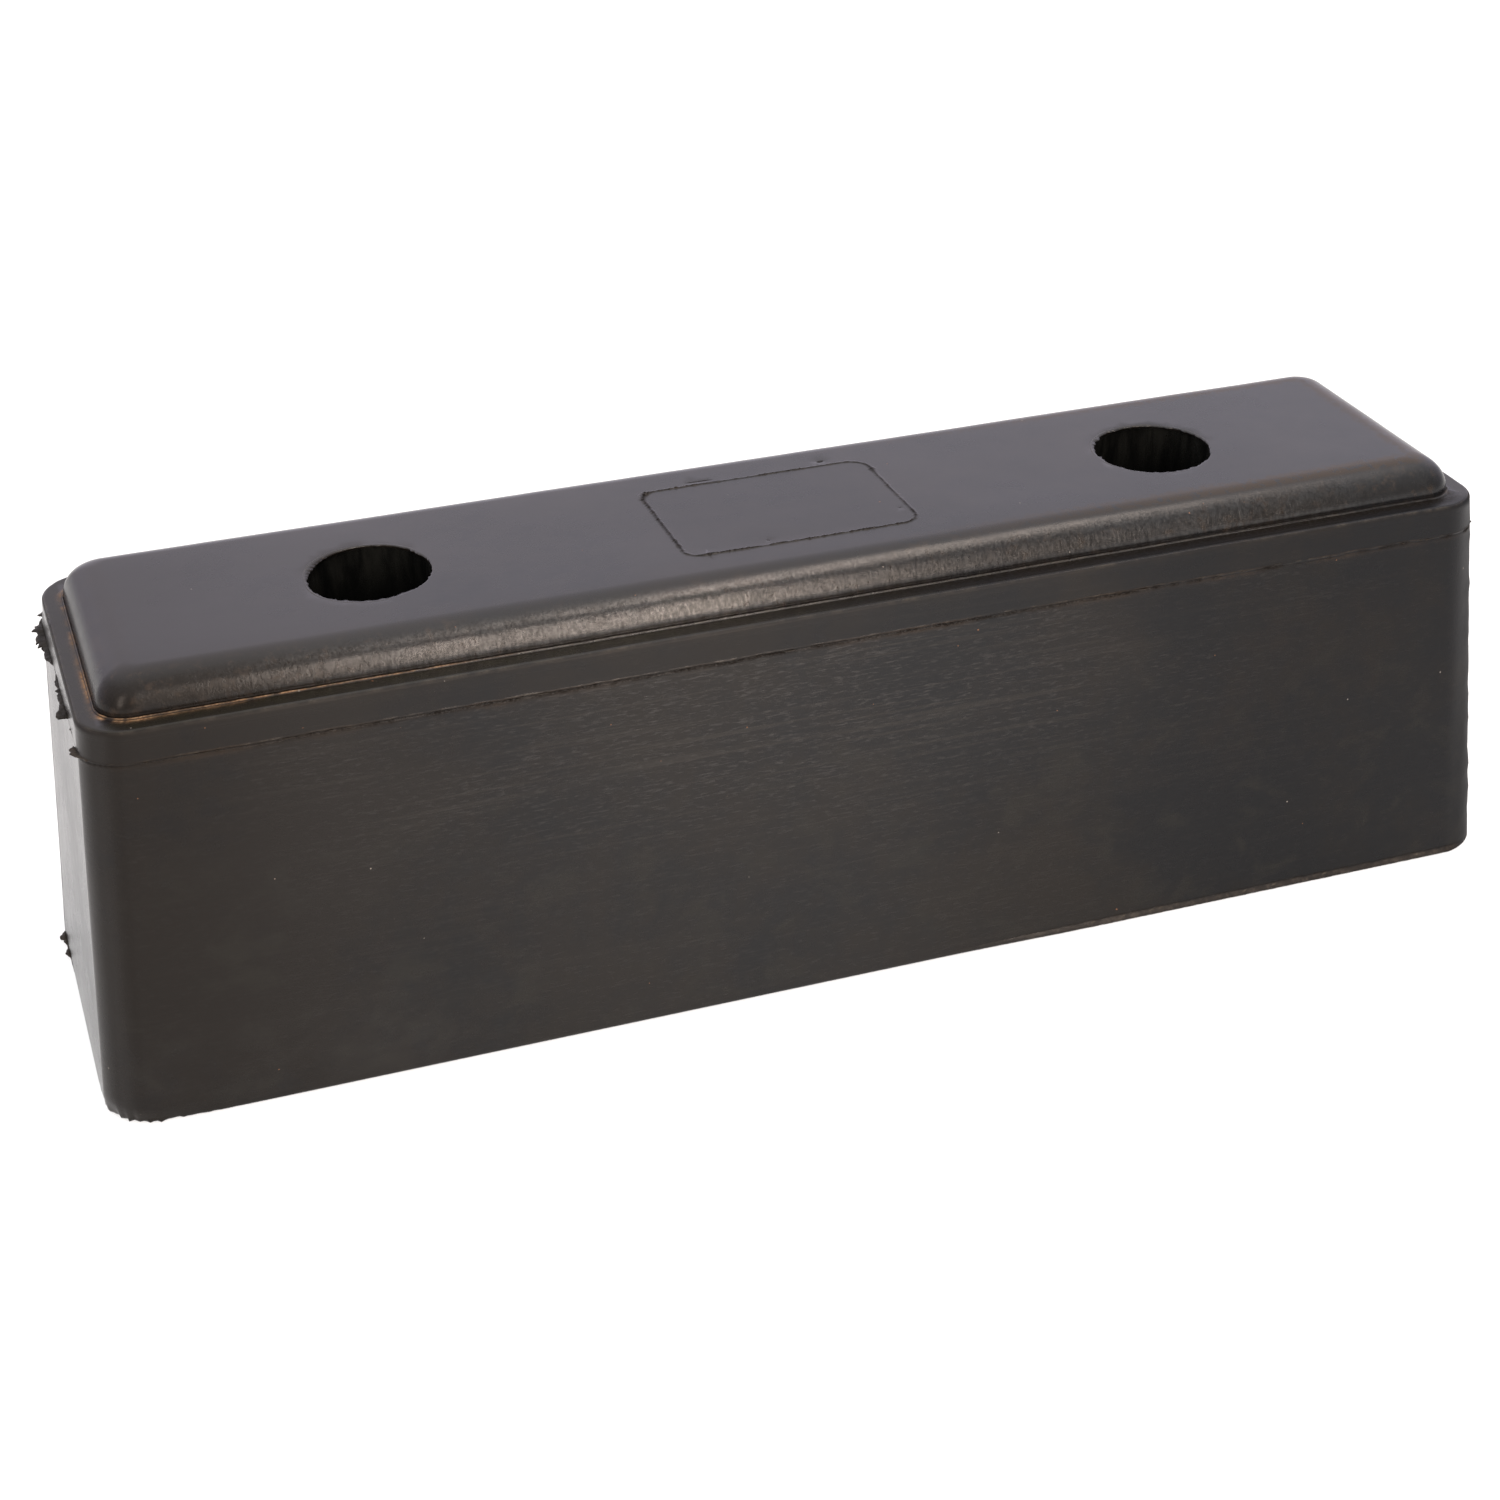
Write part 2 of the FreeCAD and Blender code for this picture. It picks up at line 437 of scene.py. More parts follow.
    blot = n.noise(0.33, 5.0, 0.68, (9, 1, 3))
    blot_wide = n.noise(0.045, 2.0, 0.5, (2, 9, 4))
    turning = n.ramp(nsep.outputs["Z"], 0.93, 0.998, 1.0, 0.0)
    fac = n.math("MULTIPLY", n.ramp(blot, 0.50, 0.70), n.math("MULTIPLY", turning, n.math("ADD", n.ramp(blot_wide, 0.42, 0.62, 0.15, 0.70), n.ramp(across, 0.45, 0.80, 0.0, 0.25))))
    if flash:
        col = n.mix(n.ramp(blot, 0.44, 0.62, 0.0, 0.85), col, (0.026, 0.0225, 0.0195))
    shade = n.math("MULTIPLY", n.ramp(place.outputs["X"], -0.35, 0.30), n.ramp(place.outputs["Y"], -0.80, -0.72, 1.0, 0.0))
    if not lower:
        col = n.mix(fac, col, (0.024, 0.0165, 0.0115))
        margin = n.math("MAXIMUM", n.ramp(n.math("MULTIPLY", n.math("ABSOLUTE", place.outputs["Y"]), 45.0), CAPY - FA - 3.4, CAPY - FA + 0.2), n.ramp(n.math("MULTIPLY", across, 160.0), CAPX - FA - 3.4, CAPX - FA + 0.2))
        margin = n.math("MULTIPLY", margin, n.ramp(n.math("ADD", n.noise(0.62, 4.0, 0.62, (4, 8, 2)), n.math("MULTIPLY", margin, 0.22)), 0.58, 0.70))
        margin = n.math("MULTIPLY", n.math("MULTIPLY", margin, n.ramp(nsep.outputs["Z"], 0.90, 0.975)), n.ramp(place.outputs["X"], 0.0, 0.70, 0.10, 1.0))
        margin = n.math("MULTIPLY", margin, n.ramp(n.math("MULTIPLY", n.math("ABSOLUTE", place.outputs["Y"]), 45.0), CAPY - 1.5, CAPY - 0.5, 1.0, 0.0))
        margin = n.math("MULTIPLY", margin, n.ramp(n.math("MULTIPLY", across, 160.0), CAPX - 1.5, CAPX - 0.5, 1.0, 0.0))
        col = n.mix(n.math("MULTIPLY", margin, 0.85), col, (0.036, 0.0250, 0.0165))
        onshelf = n.math("MAXIMUM", n.ramp(n.math("MULTIPLY", across, 160.0), CAPX + 0.2, CAPX + 0.9), n.ramp(n.math("MULTIPLY", n.math("ABSOLUTE", place.outputs["Y"]), 45.0), CAPY + 0.2, CAPY + 0.9))
        col = n.mix(n.math("MULTIPLY", n.math("MULTIPLY", onshelf, n.math("MULTIPLY_ADD", shade, -0.8, 1.0)), n.ramp(blot, 0.35, 0.65, 0.45, 0.9)), col, (0.0125, 0.0112, 0.0072))

    # residue in the corner at the foot of the raised top, and around trimmed edges; pale marks, partly dust and partly
    # painted highlights; dark line marks, partly seams and partly painted shade and painted dark reflection
    grit = n.noise(1.7, 3.0, 0.7, (5, 9, 1))
    grit2 = n.noise(0.6, 3.0, 0.6, (1, 2, 8))
    fac = n.math("MULTIPLY", residue, n.ramp(grit2, 0.25, 0.6, 0.35, 1.0), clamp=True)
    col = n.mix(fac, col, n.mix(n.ramp(grit, 0.35, 0.65), (0.16, 0.080, 0.036), (0.37, 0.235, 0.13)))
    fac = n.math("MULTIPLY", trim, n.ramp(grit, 0.30, 0.60, 0.45, 1.0), clamp=True)
    col = n.mix(fac, col, n.mix(n.ramp(grit2, 0.40, 0.75), (0.014, 0.011, 0.009), (0.044, 0.036, 0.029)))
    fac = n.math("MULTIPLY", pale, n.ramp(grit, 0.3, 0.62, 0.25, 1.0), clamp=True)
    col = n.mix(fac, col, (0.105, 0.09, 0.07))
    # darkens the line marks: real seams, and also painted shade at the raised top's foot, on the shelf's front right,
    # down the left end's back edge and on the crumbs, and the painted dark reflection above the torn flash
    seam = n.math("MULTIPLY", line, n.ramp(grit, 0.36, 0.58, 0.25, 1.0), clamp=True)
    col = n.mix(seam, col, (0.0072, 0.0054, 0.0042))

    # inside the bores: painted shade, near black deep down with lighter patches towards the top
    wall = n.noise((0.33, 0.33, 0.07), 4.0, 0.6, (3, 3, 1))
    lit = n.math("MULTIPLY", n.ramp(wall, 0.30, 0.75), n.ramp(place.outputs["Z"], 0.84, 0.99, 0.15, 1.0))
    col = n.mix(inside, col, n.mix(lit, (0.0022, 0.0024, 0.0024), (0.0110, 0.0112, 0.0100)))

    # dust: a few light and rusty specks
    vor = n.new("ShaderNodeTexVoronoi", feature="F1")
    n.link(n.coords((0.21,) * 3, (0.3, 0.1, 0.7)), vor.inputs["Vector"])
    vor.inputs["Scale"].default_value = 1.0
    vor.inputs["Randomness"].default_value = 1.0
    vsep = n.new("ShaderNodeSeparateColor")
    n.link(vor.outputs["Color"], vsep.inputs[0])
    size = n.ramp(vsep.outputs[0], 0.45, 1.0, 0.0, 0.046)
    speck = n.math("MULTIPLY", n.math("LESS_THAN", vor.outputs["Distance"], size), n.ramp(grit, 0.3, 0.5, 0.4, 1.0))
    col = n.mix(speck, col, n.mix(n.ramp(vsep.outputs[1], 0.45, 0.6), (0.16, 0.145, 0.13), (0.13, 0.06, 0.03)))
    n.link(col, n.bsdf.inputs["Base Color"])

    # how shiny: scuffed middle of the long sides, duller towards the ends, dirt dull
    dull = n.math("SUBTRACT", 1.0, n.math("MULTIPLY", n.math("ADD", seam, n.math("MULTIPLY", n.math("ADD", residue, pale), 0.5)), 0.85), clamp=True)
    farx = n.ramp(n.math("MULTIPLY", across, 160.0), CAPX + 0.2, CAPX + 0.9)
    fary = n.ramp(n.math("MULTIPLY", n.math("ABSOLUTE", place.outputs["Y"]), 45.0), CAPY + 0.2, CAPY + 0.9)
    shelf = n.math("MULTIPLY", n.math("MAXIMUM", farx, fary), upface)
    padx = n.ramp(n.math("ABSOLUTE", n.math("SUBTRACT", n.math("MULTIPLY", place.outputs["X"], 160.0), PAD_CX)), PAD_X - 0.2, PAD_X, 1.0, 0.0)
    pady = n.ramp(n.math("ABSOLUTE", n.math("SUBTRACT", n.math("MULTIPLY", place.outputs["Y"], 45.0), PAD_CY)), PAD_Y - 0.2, PAD_Y, 1.0, 0.0)
    wiped = n.math("ADD", n.math("ADD", n.math("MULTIPLY", shelf, n.math("MULTIPLY_ADD", shade, 0.30, 0.34)), n.math("MULTIPLY", inside, 0.5)), n.math("MULTIPLY", n.math("MULTIPLY", padx, pady), 0.07))
    if not lower:
        wiped = n.math("ADD", wiped, n.math("MULTIPLY", margin, 0.46))
    wiped = n.math("ADD", wiped, n.ramp(place.outputs["X"], -0.95, -0.62, 0.23, 0.0))
    wiped = n.math("SUBTRACT", wiped, n.math("MULTIPLY", n.ramp(n.math("ABSOLUTE", n.math("ADD", place.outputs["X"], 0.40)), 0.08, 0.36, 0.05, 0.0), upface))
    wiped = n.math("ADD", wiped, n.ramp(nsep.outputs["X"], 0.15, 0.55, 0.0, 0.0 if lower else 0.42))
    wiped = n.math("ADD", wiped, n.math("MULTIPLY", n.ramp(place.outputs["X"], 0.72, 0.93, 0.0, 0.0 if lower else 0.14), n.math("SUBTRACT", 1.0, upface)))
    dull = n.math("MULTIPLY", dull, n.math("SUBTRACT", 1.0, n.math("MINIMUM", wiped, 0.9)))
    if lower:
        offset = n.math("ADD", place.outputs["X"], 0.12)
        middle = n.ramp(n.math("ADD", n.math("ABSOLUTE", offset), n.math("MULTIPLY", n.math("SUBTRACT", big, 0.5), 0.30)), 0.02, 0.85, 1.0, 0.0)
        low = n.ramp(place.outputs["Z"], 0.897, 0.912)
        rightward = n.ramp(place.outputs["X"], 0.1, 0.8)
        corner = n.math("MULTIPLY", n.ramp(place.outputs["X"], 0.0, 0.28), n.ramp(place.outputs["Z"], 0.25, 0.60, 1.0, 0.0))
        middle = n.math("MULTIPLY", middle, n.math("MULTIPLY_ADD", corner, -0.55, 1.0))
        middle = n.math("MULTIPLY", middle, n.math("MULTIPLY", n.math("MULTIPLY_ADD", under, 0.35, 0.65), n.ramp(place.outputs["Z"], 0.30, 0.72, 0.82, 1.0)))
        shine = n.math("ADD", n.math("MULTIPLY", middle, 0.124), n.math("ADD", n.math("MULTIPLY", endface, 0.228), n.math("MULTIPLY_ADD", rightward, -0.052, 0.272)))
        turned = nsep.outputs["X"]
        near_side = n.ramp(place.outputs["Y"], -0.60, -0.50, 1.0, 0.0)
        streaky = n.math("MULTIPLY_ADD", n.noise((0.3, 0.3, 0.05), 3.0, 0.6, (1, 7, 4)), 0.9, 0.55)
        shine = n.math("ADD", shine, n.math("MULTIPLY", n.ramp(n.math("ABSOLUTE", n.math("ADD", turned, 0.60)), 0.03, 0.17, 0.060, 0.0), n.math("MULTIPLY", streaky, near_side)))
        shine = n.math("ADD", shine, n.math("MULTIPLY", n.ramp(n.math("ABSOLUTE", n.math("ADD", turned, 0.33)), 0.02, 0.13, -0.022, 0.0), near_side))
        foot_l = n.math("MULTIPLY", n.ramp(place.outputs["X"], -0.62, -0.40, 1.0, 0.0), n.ramp(place.outputs["Z"], 0.08, 0.30, 1.0, 0.0))
        shine = n.math("ADD", shine, n.math("MULTIPLY", foot_l, n.math("MULTIPLY", n.ramp(cloud, 0.30, 0.62, 0.008, 0.055), sideface)))
        n.link(n.math("MULTIPLY", shine, dull), n.bsdf.inputs["Specular IOR Level"])
    else:
        sparkle = n.noise((1.5, 1.5, 0.55), 3.0, 0.7, (2.2, 6.1, 8.3), 0.3)
        patchy = n.noise((0.23, 0.4, 0.3), 3.0, 0.6, (6.2, 3.1, 1.3))
        glint = n.math("MULTIPLY", n.ramp(sparkle, 0.32, 0.68, 0.66, 1.36), n.ramp(patchy, 0.3, 0.7, 0.92, 1.10))
        calm = n.ramp(across, 0.64, 0.88, 1.0, 0.30)
        glint = n.math("MULTIPLY_ADD", n.math("SUBTRACT", glint, 1.0), calm, 1.0)
        shiny = n.math("ADD", n.ramp(place.outputs["X"], -0.84, -0.46, -0.40, 0.0), n.ramp(n.math("ABSOLUTE", n.math("ADD", place.outputs["X"], 0.20)), 0.04, 0.22, 0.16, 0.0))
        shiny = n.math("ADD", shiny, n.ramp(n.math("ABSOLUTE", n.math("SUBTRACT", place.outputs["X"], 0.22)), 0.08, 0.24, -0.17, 0.0))
        glint = n.math("MULTIPLY", glint, n.math("ADD", shiny, 1.0))
        glint = n.math("ADD", n.math("MULTIPLY", glint, n.math("SUBTRACT", 1.0, upface)), upface)
        n.link(n.math("MULTIPLY", n.math("MULTIPLY", dull, 0.5), glint), n.bsdf.inputs["Specular IOR Level"])

    # roughness
    rough = n.math("ADD", n.math("MULTIPLY", n.math("SUBTRACT", small, 0.5), 0.10), 0.26)
    rough = n.math("ADD", rough, n.math("MULTIPLY", n.math("SUBTRACT", big, 0.5), 0.18))
    if lower:
        rough = n.math("ADD", rough, n.math("MULTIPLY", low, 0.30))
        rough = n.math("ADD", rough, n.ramp(place.outputs["X"], 0.925, 0.965, 0.0, 0.38))
    for mask, amount in ((residue, 0.3), (trim, 0.25), (pale, 0.2), (line, 0.2), (speck, 0.3)):
        rough = n.math("ADD", rough, n.math("MULTIPLY", mask, amount))
    if flash:
        rough = n.math("ADD", rough, 0.18)
    n.link(n.math("MINIMUM", n.math("MAXIMUM", rough, 0.2), 0.95), n.bsdf.inputs["Roughness"])
    n.bsdf.inputs["IOR"].default_value = 1.45

    # fine shape: grain everywhere, short streaks along the sides, upright ones on the ends
    streak = n.noise((0.34, 1.55, 1.55), 3.0, 0.62, (2, 5, 3), 0.25)
    lines = n.noise((0.012, 0.9, 0.9), 1.5, 0.5, (8, 1, 4))
    upright = n.noise((0.9, 0.9, 0.035), 2.5, 0.6, (6, 4, 2))
    grain = n.noise(2.3, 2.0, 0.6, (7, 3, 9))
    lumps = n.noise(0.42, 2.0, 0.5, (3, 8, 6))
    if lower or flash:
        brushed = n.math("MULTIPLY", sideface, n.math("MULTIPLY_ADD", where, 0.75, 0.25))
        h = n.math("MULTIPLY", n.math("MULTIPLY", streak, brushed), 0.8)
        h = n.math("ADD", h, n.math("MULTIPLY", n.math("MULTIPLY", lines, brushed), 0.35))
        h = n.math("ADD", h, n.math("MULTIPLY", n.math("MULTIPLY", upright, endface), 0.8))
        h = n.math("ADD", h, n.math("MULTIPLY", grain, 0.16))
        h = n.math("ADD", h, n.math("MULTIPLY", lumps, 0.30))
    else:
        bend = n.math("SUBTRACT", 1.0, upface)
        hatch_y = n.noise((1.7, 0.21, 0.17), 4.0, 0.75, (5.3, 2.1, 7.7), 0.5)
        hatch_x = n.noise((0.21, 1.7, 0.17), 4.0, 0.75, (7.1, 3.6, 1.2), 0.5)
        along = n.ramp(n.math("ABSOLUTE", nsep.outputs["Y"]), 0.15, 0.4)
        hatch = n.math("ADD", n.math("MULTIPLY", hatch_y, along), n.math("MULTIPLY", hatch_x, n.math("SUBTRACT", 1.0, along)))
        h = n.math("MULTIPLY", n.math("MULTIPLY", hatch, bend), n.ramp(across, 0.64, 0.88, 0.34, 0.16))
        h = n.math("ADD", h, n.math("MULTIPLY", grain, n.math("MULTIPLY_ADD", bend, 0.24, 0.05)))
        h = n.math("ADD", h, n.math("MULTIPLY", lumps, 0.12))
    rim = n.math("ADD", n.math("ADD", line, trim), n.math("ADD", residue, pale))
    h = n.math("ADD", h, n.math("MULTIPLY", n.math("MULTIPLY", grit, rim), 1.6 if not flash else 3.0))
    if flash:
        h = n.math("ADD", h, n.math("MULTIPLY", grit2, 1.5))
    n.link(n.bump(h, 0.00009), n.bsdf.inputs["Normal"])
    return n.mat


def steel_material(name):
    n = Nodes(name)
    cloud = n.noise(0.09, 4.0, 0.6, (2, 2, 2))
    fine = n.noise(1.4, 3.0, 0.65, (4, 1, 6))
    turn = n.noise((0.15, 2.6, 2.6), 2.0, 0.5, (1, 1, 1))
    steel = n.mix(n.ramp(fine, 0.35, 0.65), (0.30, 0.29, 0.275), (0.44, 0.43, 0.41))
    rust = n.ramp(n.math("ADD", n.math("MULTIPLY", cloud, 0.75), n.math("MULTIPLY", fine, 0.25)), 0.55, 0.66)
    col = n.mix(rust, steel, n.mix(n.ramp(fine, 0.4, 0.6), (0.10, 0.042, 0.018), (0.19, 0.085, 0.035)))
    n.link(col, n.bsdf.inputs["Base Color"])
    n.link(n.math("SUBTRACT", 1.0, n.math("MULTIPLY", rust, 0.85)), n.bsdf.inputs["Metallic"])
    n.link(n.math("ADD", n.math("ADD", 0.30, n.math("MULTIPLY", fine, 0.2)), n.math("MULTIPLY", rust, 0.35)), n.bsdf.inputs["Roughness"])
    h = n.math("ADD", n.math("MULTIPLY", turn, 0.5), n.math("ADD", n.math("MULTIPLY", fine, 0.5), n.math("MULTIPLY", rust, 0.8)))
    n.link(n.bump(h, 0.00008), n.bsdf.inputs["Normal"])
    return n.mat


RUBBER = rubber_material("rubber_top")
RUBBER_LOW = rubber_material("rubber_sides", lower=True)
FLASH = rubber_material("rubber_flash", flash=True)
STEEL = steel_material("steel")


# ---------------------------------------------------------------- the rubber block
NX, NY, NC = 392, 84, 18
body = Build()
N = 2 * NX + 2 * NY + 4 * NC
base_pts, base_nor = rounded(BX, BY, BASE_R, NX, NY, NC)
seg = np.linalg.norm(np.roll(base_pts, -1, 0) - base_pts, axis=1)
RUN = np.concatenate([[0], np.cumsum(seg)[:-1]])              # distance round the base from its front left
LOOP = float(seg.sum())


def ring(hx, hy, r, kink=0.0):
    return rounded(hx, hy, r, NX, NY, NC, kink)[0]


rows = []           # (points N x 3, marks N x 4)
CHEW = bell(base_pts[:, 0], -157, 13) * bell(base_pts[:, 1], -40.5, 9)
CHEW = CHEW * np.clip(0.85 + 0.40 * noise1(RUN / 2.3, 13, 2, LOOP / 2.3) + 0.50 * noise1(RUN / 0.9, 14, 2, LOOP / 0.9), 0.15, 1.7)
RIGHT_EDGE = smooth(0.55, 0.9, base_nor[:, 0]) * (1 - smooth(-32, -22, base_pts[:, 1]))
# painted shade: a patchy dark line down the back edge of the bright left end face
FAR_EDGE_SHADE = (base_nor[:, 0] < -0.95) * smooth(BY - BASE_R - 2.2, BY - BASE_R - 0.6, base_pts[:, 1])


def row(hx, hy, r, z, out=0.0, dz=0.0, marks=None):
    out = out - 1.5 * CHEW * max(0.0, 1 - z / 4.2) ** 1.4
    if 3 < z < 79:
        out = out + RIGHT_EDGE * 0.22 * (noise1(np.array([z / 2.2]), 403, 2)[0] + 0.5 * noise1(RUN / 2.0 + z / 3.0, 405, 2))
    p = ring(hx, hy, r, 14.0 * float(1 - smooth(79, LZ - 1, z))) + base_nor * (np.reshape(out, (-1, 1)) if np.ndim(out) else out)
    zz = np.full(N, float(z)) + dz
    m = np.zeros((N, 4)) if marks is None else marks
    if z < LZ - 2:
        m[:, 0] = np.maximum(m[:, 0], FAR_EDGE_SHADE * float(np.clip(0.45 + 0.9 * noise1(np.array([z / 5.0]), 401, 2)[0], 0, 1)))
    rows.append((np.column_stack([p, zz]), m))


def marks(line=0.0, residue=0.0, pale=0.0, trim=0.0):
    m = np.zeros((N, 4))
    for i, v in enumerate((line, residue, pale, trim)):
        m[:, i] = v
    return m


# the trimmed, rough lower edge: strongest on the right half of the front and here and there elsewhere
on_front = (base_nor[:, 1] < -0.5)
bx0 = base_pts[:, 0]
trim_zone = on_front * smooth(22, 62, bx0) * (1 - smooth(150, 158, bx0))
trim_zone = np.maximum(trim_zone, 0.45 * smooth(0.1, 0.55, noise1(RUN / 34.0, 5, 2, LOOP / 34.0)) * (1 - on_front * smooth(-150, -120, bx0) * (1 - smooth(20, 60, bx0))))
rag = noise1(RUN / 2.1, 11, 3, LOOP / 2.1)
rag2 = noise1(RUN / 0.9, 17, 2, LOOP / 0.9)
corner_rag = bell(base_pts[:, 0], -150, 9) * bell(base_pts[:, 1], -44, 5) * 0.75

hx, hy, r = side(0)
row(hx - 1.3, hy - 1.3, r - 1.3, 0.0)
LIPS = trim_zone * on_front
row(hx - 0.5, hy - 0.5, r - 0.5, 0.0, out=0.05 * rag * trim_zone + 0.55 * LIPS)
row(hx - 0.16, hy - 0.16, r - 0.16, 0.13, out=0.08 * rag2 * trim_zone + 0.55 * LIPS + corner_rag * 0.5 * (rag2 > 0.1), marks=marks(trim=0.9 * trim_zone))
row(*side(0.45), 0.45, out=0.05 * rag * trim_zone + 0.46 * LIPS + corner_rag * 0.3 * (rag2 > 0.1), marks=marks(trim=trim_zone))
row(*side(0.85), 0.85, out=0.06 * rag2 * trim_zone + 0.32 * LIPS, marks=marks(trim=trim_zone))
row(*side(1.18), 1.18, out=0.04 * rag2 * trim_zone + 0.18 * LIPS, dz=0.12 * rag * trim_zone, marks=marks(trim=0.9 * trim_zone, pale=0.7 * trim_zone * (rag2 > 0.55)))
row(*side(1.38), 1.38, out=-0.04 * trim_zone, dz=0.14 * rag * trim_zone, marks=marks(line=0.55 * trim_zone * np.clip(0.5 + rag, 0, 1), trim=0.25 * trim_zone))
row(*side(1.60), 1.60, out=-0.05 * trim_zone, dz=0.14 * rag * trim_zone, marks=marks(line=0.55 * trim_zone))
row(*side(1.80), 1.80, dz=0.12 * rag * trim_zone, marks=marks(line=0.15 * trim_zone))
for z in (2.1, 2.9, 4.0, 5.5):
    row(*side(z), z)
for z in np.arange(7.5, 78.0, 2.0):
    row(*side(z), z)

# the parting line: a ragged, dark seam, the part above it slightly proud; its pale bits are partly crumbs and partly
# painted highlights
wob = 0.20 * noise1(RUN / 9.0, 23, 2, LOOP / 9.0) + 0.10 * noise1(RUN / 1.3, 29, 2, LOOP / 1.3)
wob = wob + on_front * 0.9 * bell(bx0, 158, 9) * np.abs(noise1(RUN / 7.0, 31, 2, LOOP / 7.0))
deep = np.clip(0.85 + 0.5 * noise1(RUN / 3.3, 37, 3, LOOP / 3.3), 0.3, 1.0) * (1 - 0.45 * on_front * bell(bx0, 125, 18)) * (1 - 0.5 * bell(bx0, -150, 28))
deep = deep * (1 - 0.82 * on_front * smooth(48, 90, bx0) * smooth(-0.20, 0.06, noise1(RUN / 2.3, 41, 2, LOOP / 2.3)))
bits = np.clip(noise1(RUN / 1.1, 41, 2, LOOP / 1.1) * 1.5 - 0.15, 0, 1)
PROUD = 0.11
by0 = base_pts[:, 1]
# at the torn end a slightly proud torn root, and dark line marks fading over about 4 mm above the parting line: a
# painted dark reflection of the torn flash
TORN_ROOT_AND_DARK_REFLECTION = (base_nor[:, 0] < -0.8) * (smooth(5, 10, by0) * (1 - smooth(33, 36, by0)) + 0.45 * smooth(-16.5, -14, by0) * (1 - smooth(-2, 3, by0)))
TORN_ROOT_AND_DARK_REFLECTION = TORN_ROOT_AND_DARK_REFLECTION * np.clip(0.8 + 0.5 * noise1(RUN / 3.0, 45, 2, LOOP / 3.0), 0.3, 1.0)
dirty = np.clip(0.25 + 0.9 * noise1(RUN / 14.0, 43, 2, LOOP / 14.0), 0, 1)
for dz, out, m in (
    (-2.0, 0.0, marks()),
    (-1.25, 0.0, marks(residue=0.015 * dirty)),
    (-0.80, 0.04 * bits, marks(residue=0.06 * dirty, line=0.10 * deep + 0.25 * bits * deep)),
    (-0.52, 0.10 * bits, marks(residue=0.08 * dirty, line=0.60 * deep + 0.3 * bits * deep, pale=0.10 * bits)),
    (-0.30, 0.04 * bits, marks(residue=0.08 * dirty, line=0.95 * deep)),
    (-0.12, -0.16 * deep, marks(line=1.0 * deep)),
    (0.05, -0.20 * deep, marks(line=1.0 * deep)),
    (0.20, PROUD + 0.10 * bits, marks(line=0.95 * deep, residue=0.12 * dirty)),
    (0.40, PROUD + 0.08 * bits, marks(pale=0.35 * bits, line=0.45 * deep, residue=0.08 * dirty)),
    (0.65, PROUD + 0.25 * TORN_ROOT_AND_DARK_REFLECTION, marks(line=0.95 * TORN_ROOT_AND_DARK_REFLECTION)),
    (1.2, PROUD + 0.18 * TORN_ROOT_AND_DARK_REFLECTION, marks(line=0.85 * TORN_ROOT_AND_DARK_REFLECTION)),
    (2.2, PROUD + 0.08 * TORN_ROOT_AND_DARK_REFLECTION, marks(line=0.70 * TORN_ROOT_AND_DARK_REFLECTION)),
    (3.3, PROUD, marks(line=0.45 * TORN_ROOT_AND_DARK_REFLECTION)),
    (4.1, PROUD, marks(line=0.15 * TORN_ROOT_AND_DARK_REFLECTION)),
    (4.9, PROUD, marks()),
):
    row(*side(PART_Z + dz), PART_Z + dz, out=out, dz=wob * bell(dz, 0, 0.9), marks=m)

# the ledge with its rounded edge
z0 = LZ - EDGE_R
sx, sy, sr = side(z0)
row(sx, sy, sr, z0 - 0.25, out=PROUD)
# scrapes along the ledge's rounded edge with pale marks: partly wear, partly a painted highlight on the edge
scrape_and_highlight = np.clip(0.15 + 0.9 * noise1(RUN / 1.9, 73, 2, LOOP / 1.9) + 0.5 * noise1(RUN / 17.0, 79, 2, LOOP / 17.0), 0, 1)
for deg in (0, 14, 28, 42, 56, 70, 82):
    a = math.radians(deg)
    cut = EDGE_R * (1 - math.cos(a))
    row(sx - cut, sy - cut, sr - cut, z0 + EDGE_R * math.sin(a), out=PROUD * math.cos(a) - 0.05 * scrape_and_highlight * bell(deg, 48, 25), dz=-0.04 * scrape_and_highlight * bell(deg, 60, 25), marks=marks(pale=0.34 * scrape_and_highlight * bell(deg, 52, 20)))
ex, ey, er = sx - EDGE_R, sy - EDGE_R, sr - EDGE_R
fx, fy = CAPX + FOOT, CAPY + FOOT                             # where the hollow at the foot starts
left = smooth(120, 150, -bx0)
shade_r = on_front * smooth(-45, 45, bx0)
left_front = np.maximum(left, on_front * (1 - smooth(-90, -62, bx0)))
stain = np.clip(0.5 + 0.8 * noise1(RUN / 6.0, 47, 3, LOOP / 6.0), 0, 1)
grime_and_highlight = np.clip(0.35 + 0.9 * noise1(RUN / 2.0, 53, 3, LOOP / 2.0), 0, 1)
broken = np.clip(0.55 + 1.1 * noise1(RUN / 2.6, 67, 3, LOOP / 2.6), 0, 1) * np.clip(0.6 + 0.8 * noise1(RUN / 11.0, 71, 2, LOOP / 11.0), 0.15, 1)
# dark line marks on the shelf: painted shade next to the wall's foot, and painted shade over the front right half
for t in (0.0, 0.06, 0.25, 0.45, 0.65, 0.80, 0.89, 0.95):
    m = marks(residue=left * (0.16 * stain * smooth(0.45, 0.9, t) + 0.95 * broken * smooth(0.74, 0.90, t)), line=0.15 * smooth(0.7, 1.0, t) + 0.74 * shade_r * smooth(0.10, 0.60, t))
    row(ex + (fx - ex) * t, ey + (fy - ey) * t, er + (CAP_R + FOOT - er) * t, LZ, marks=m)
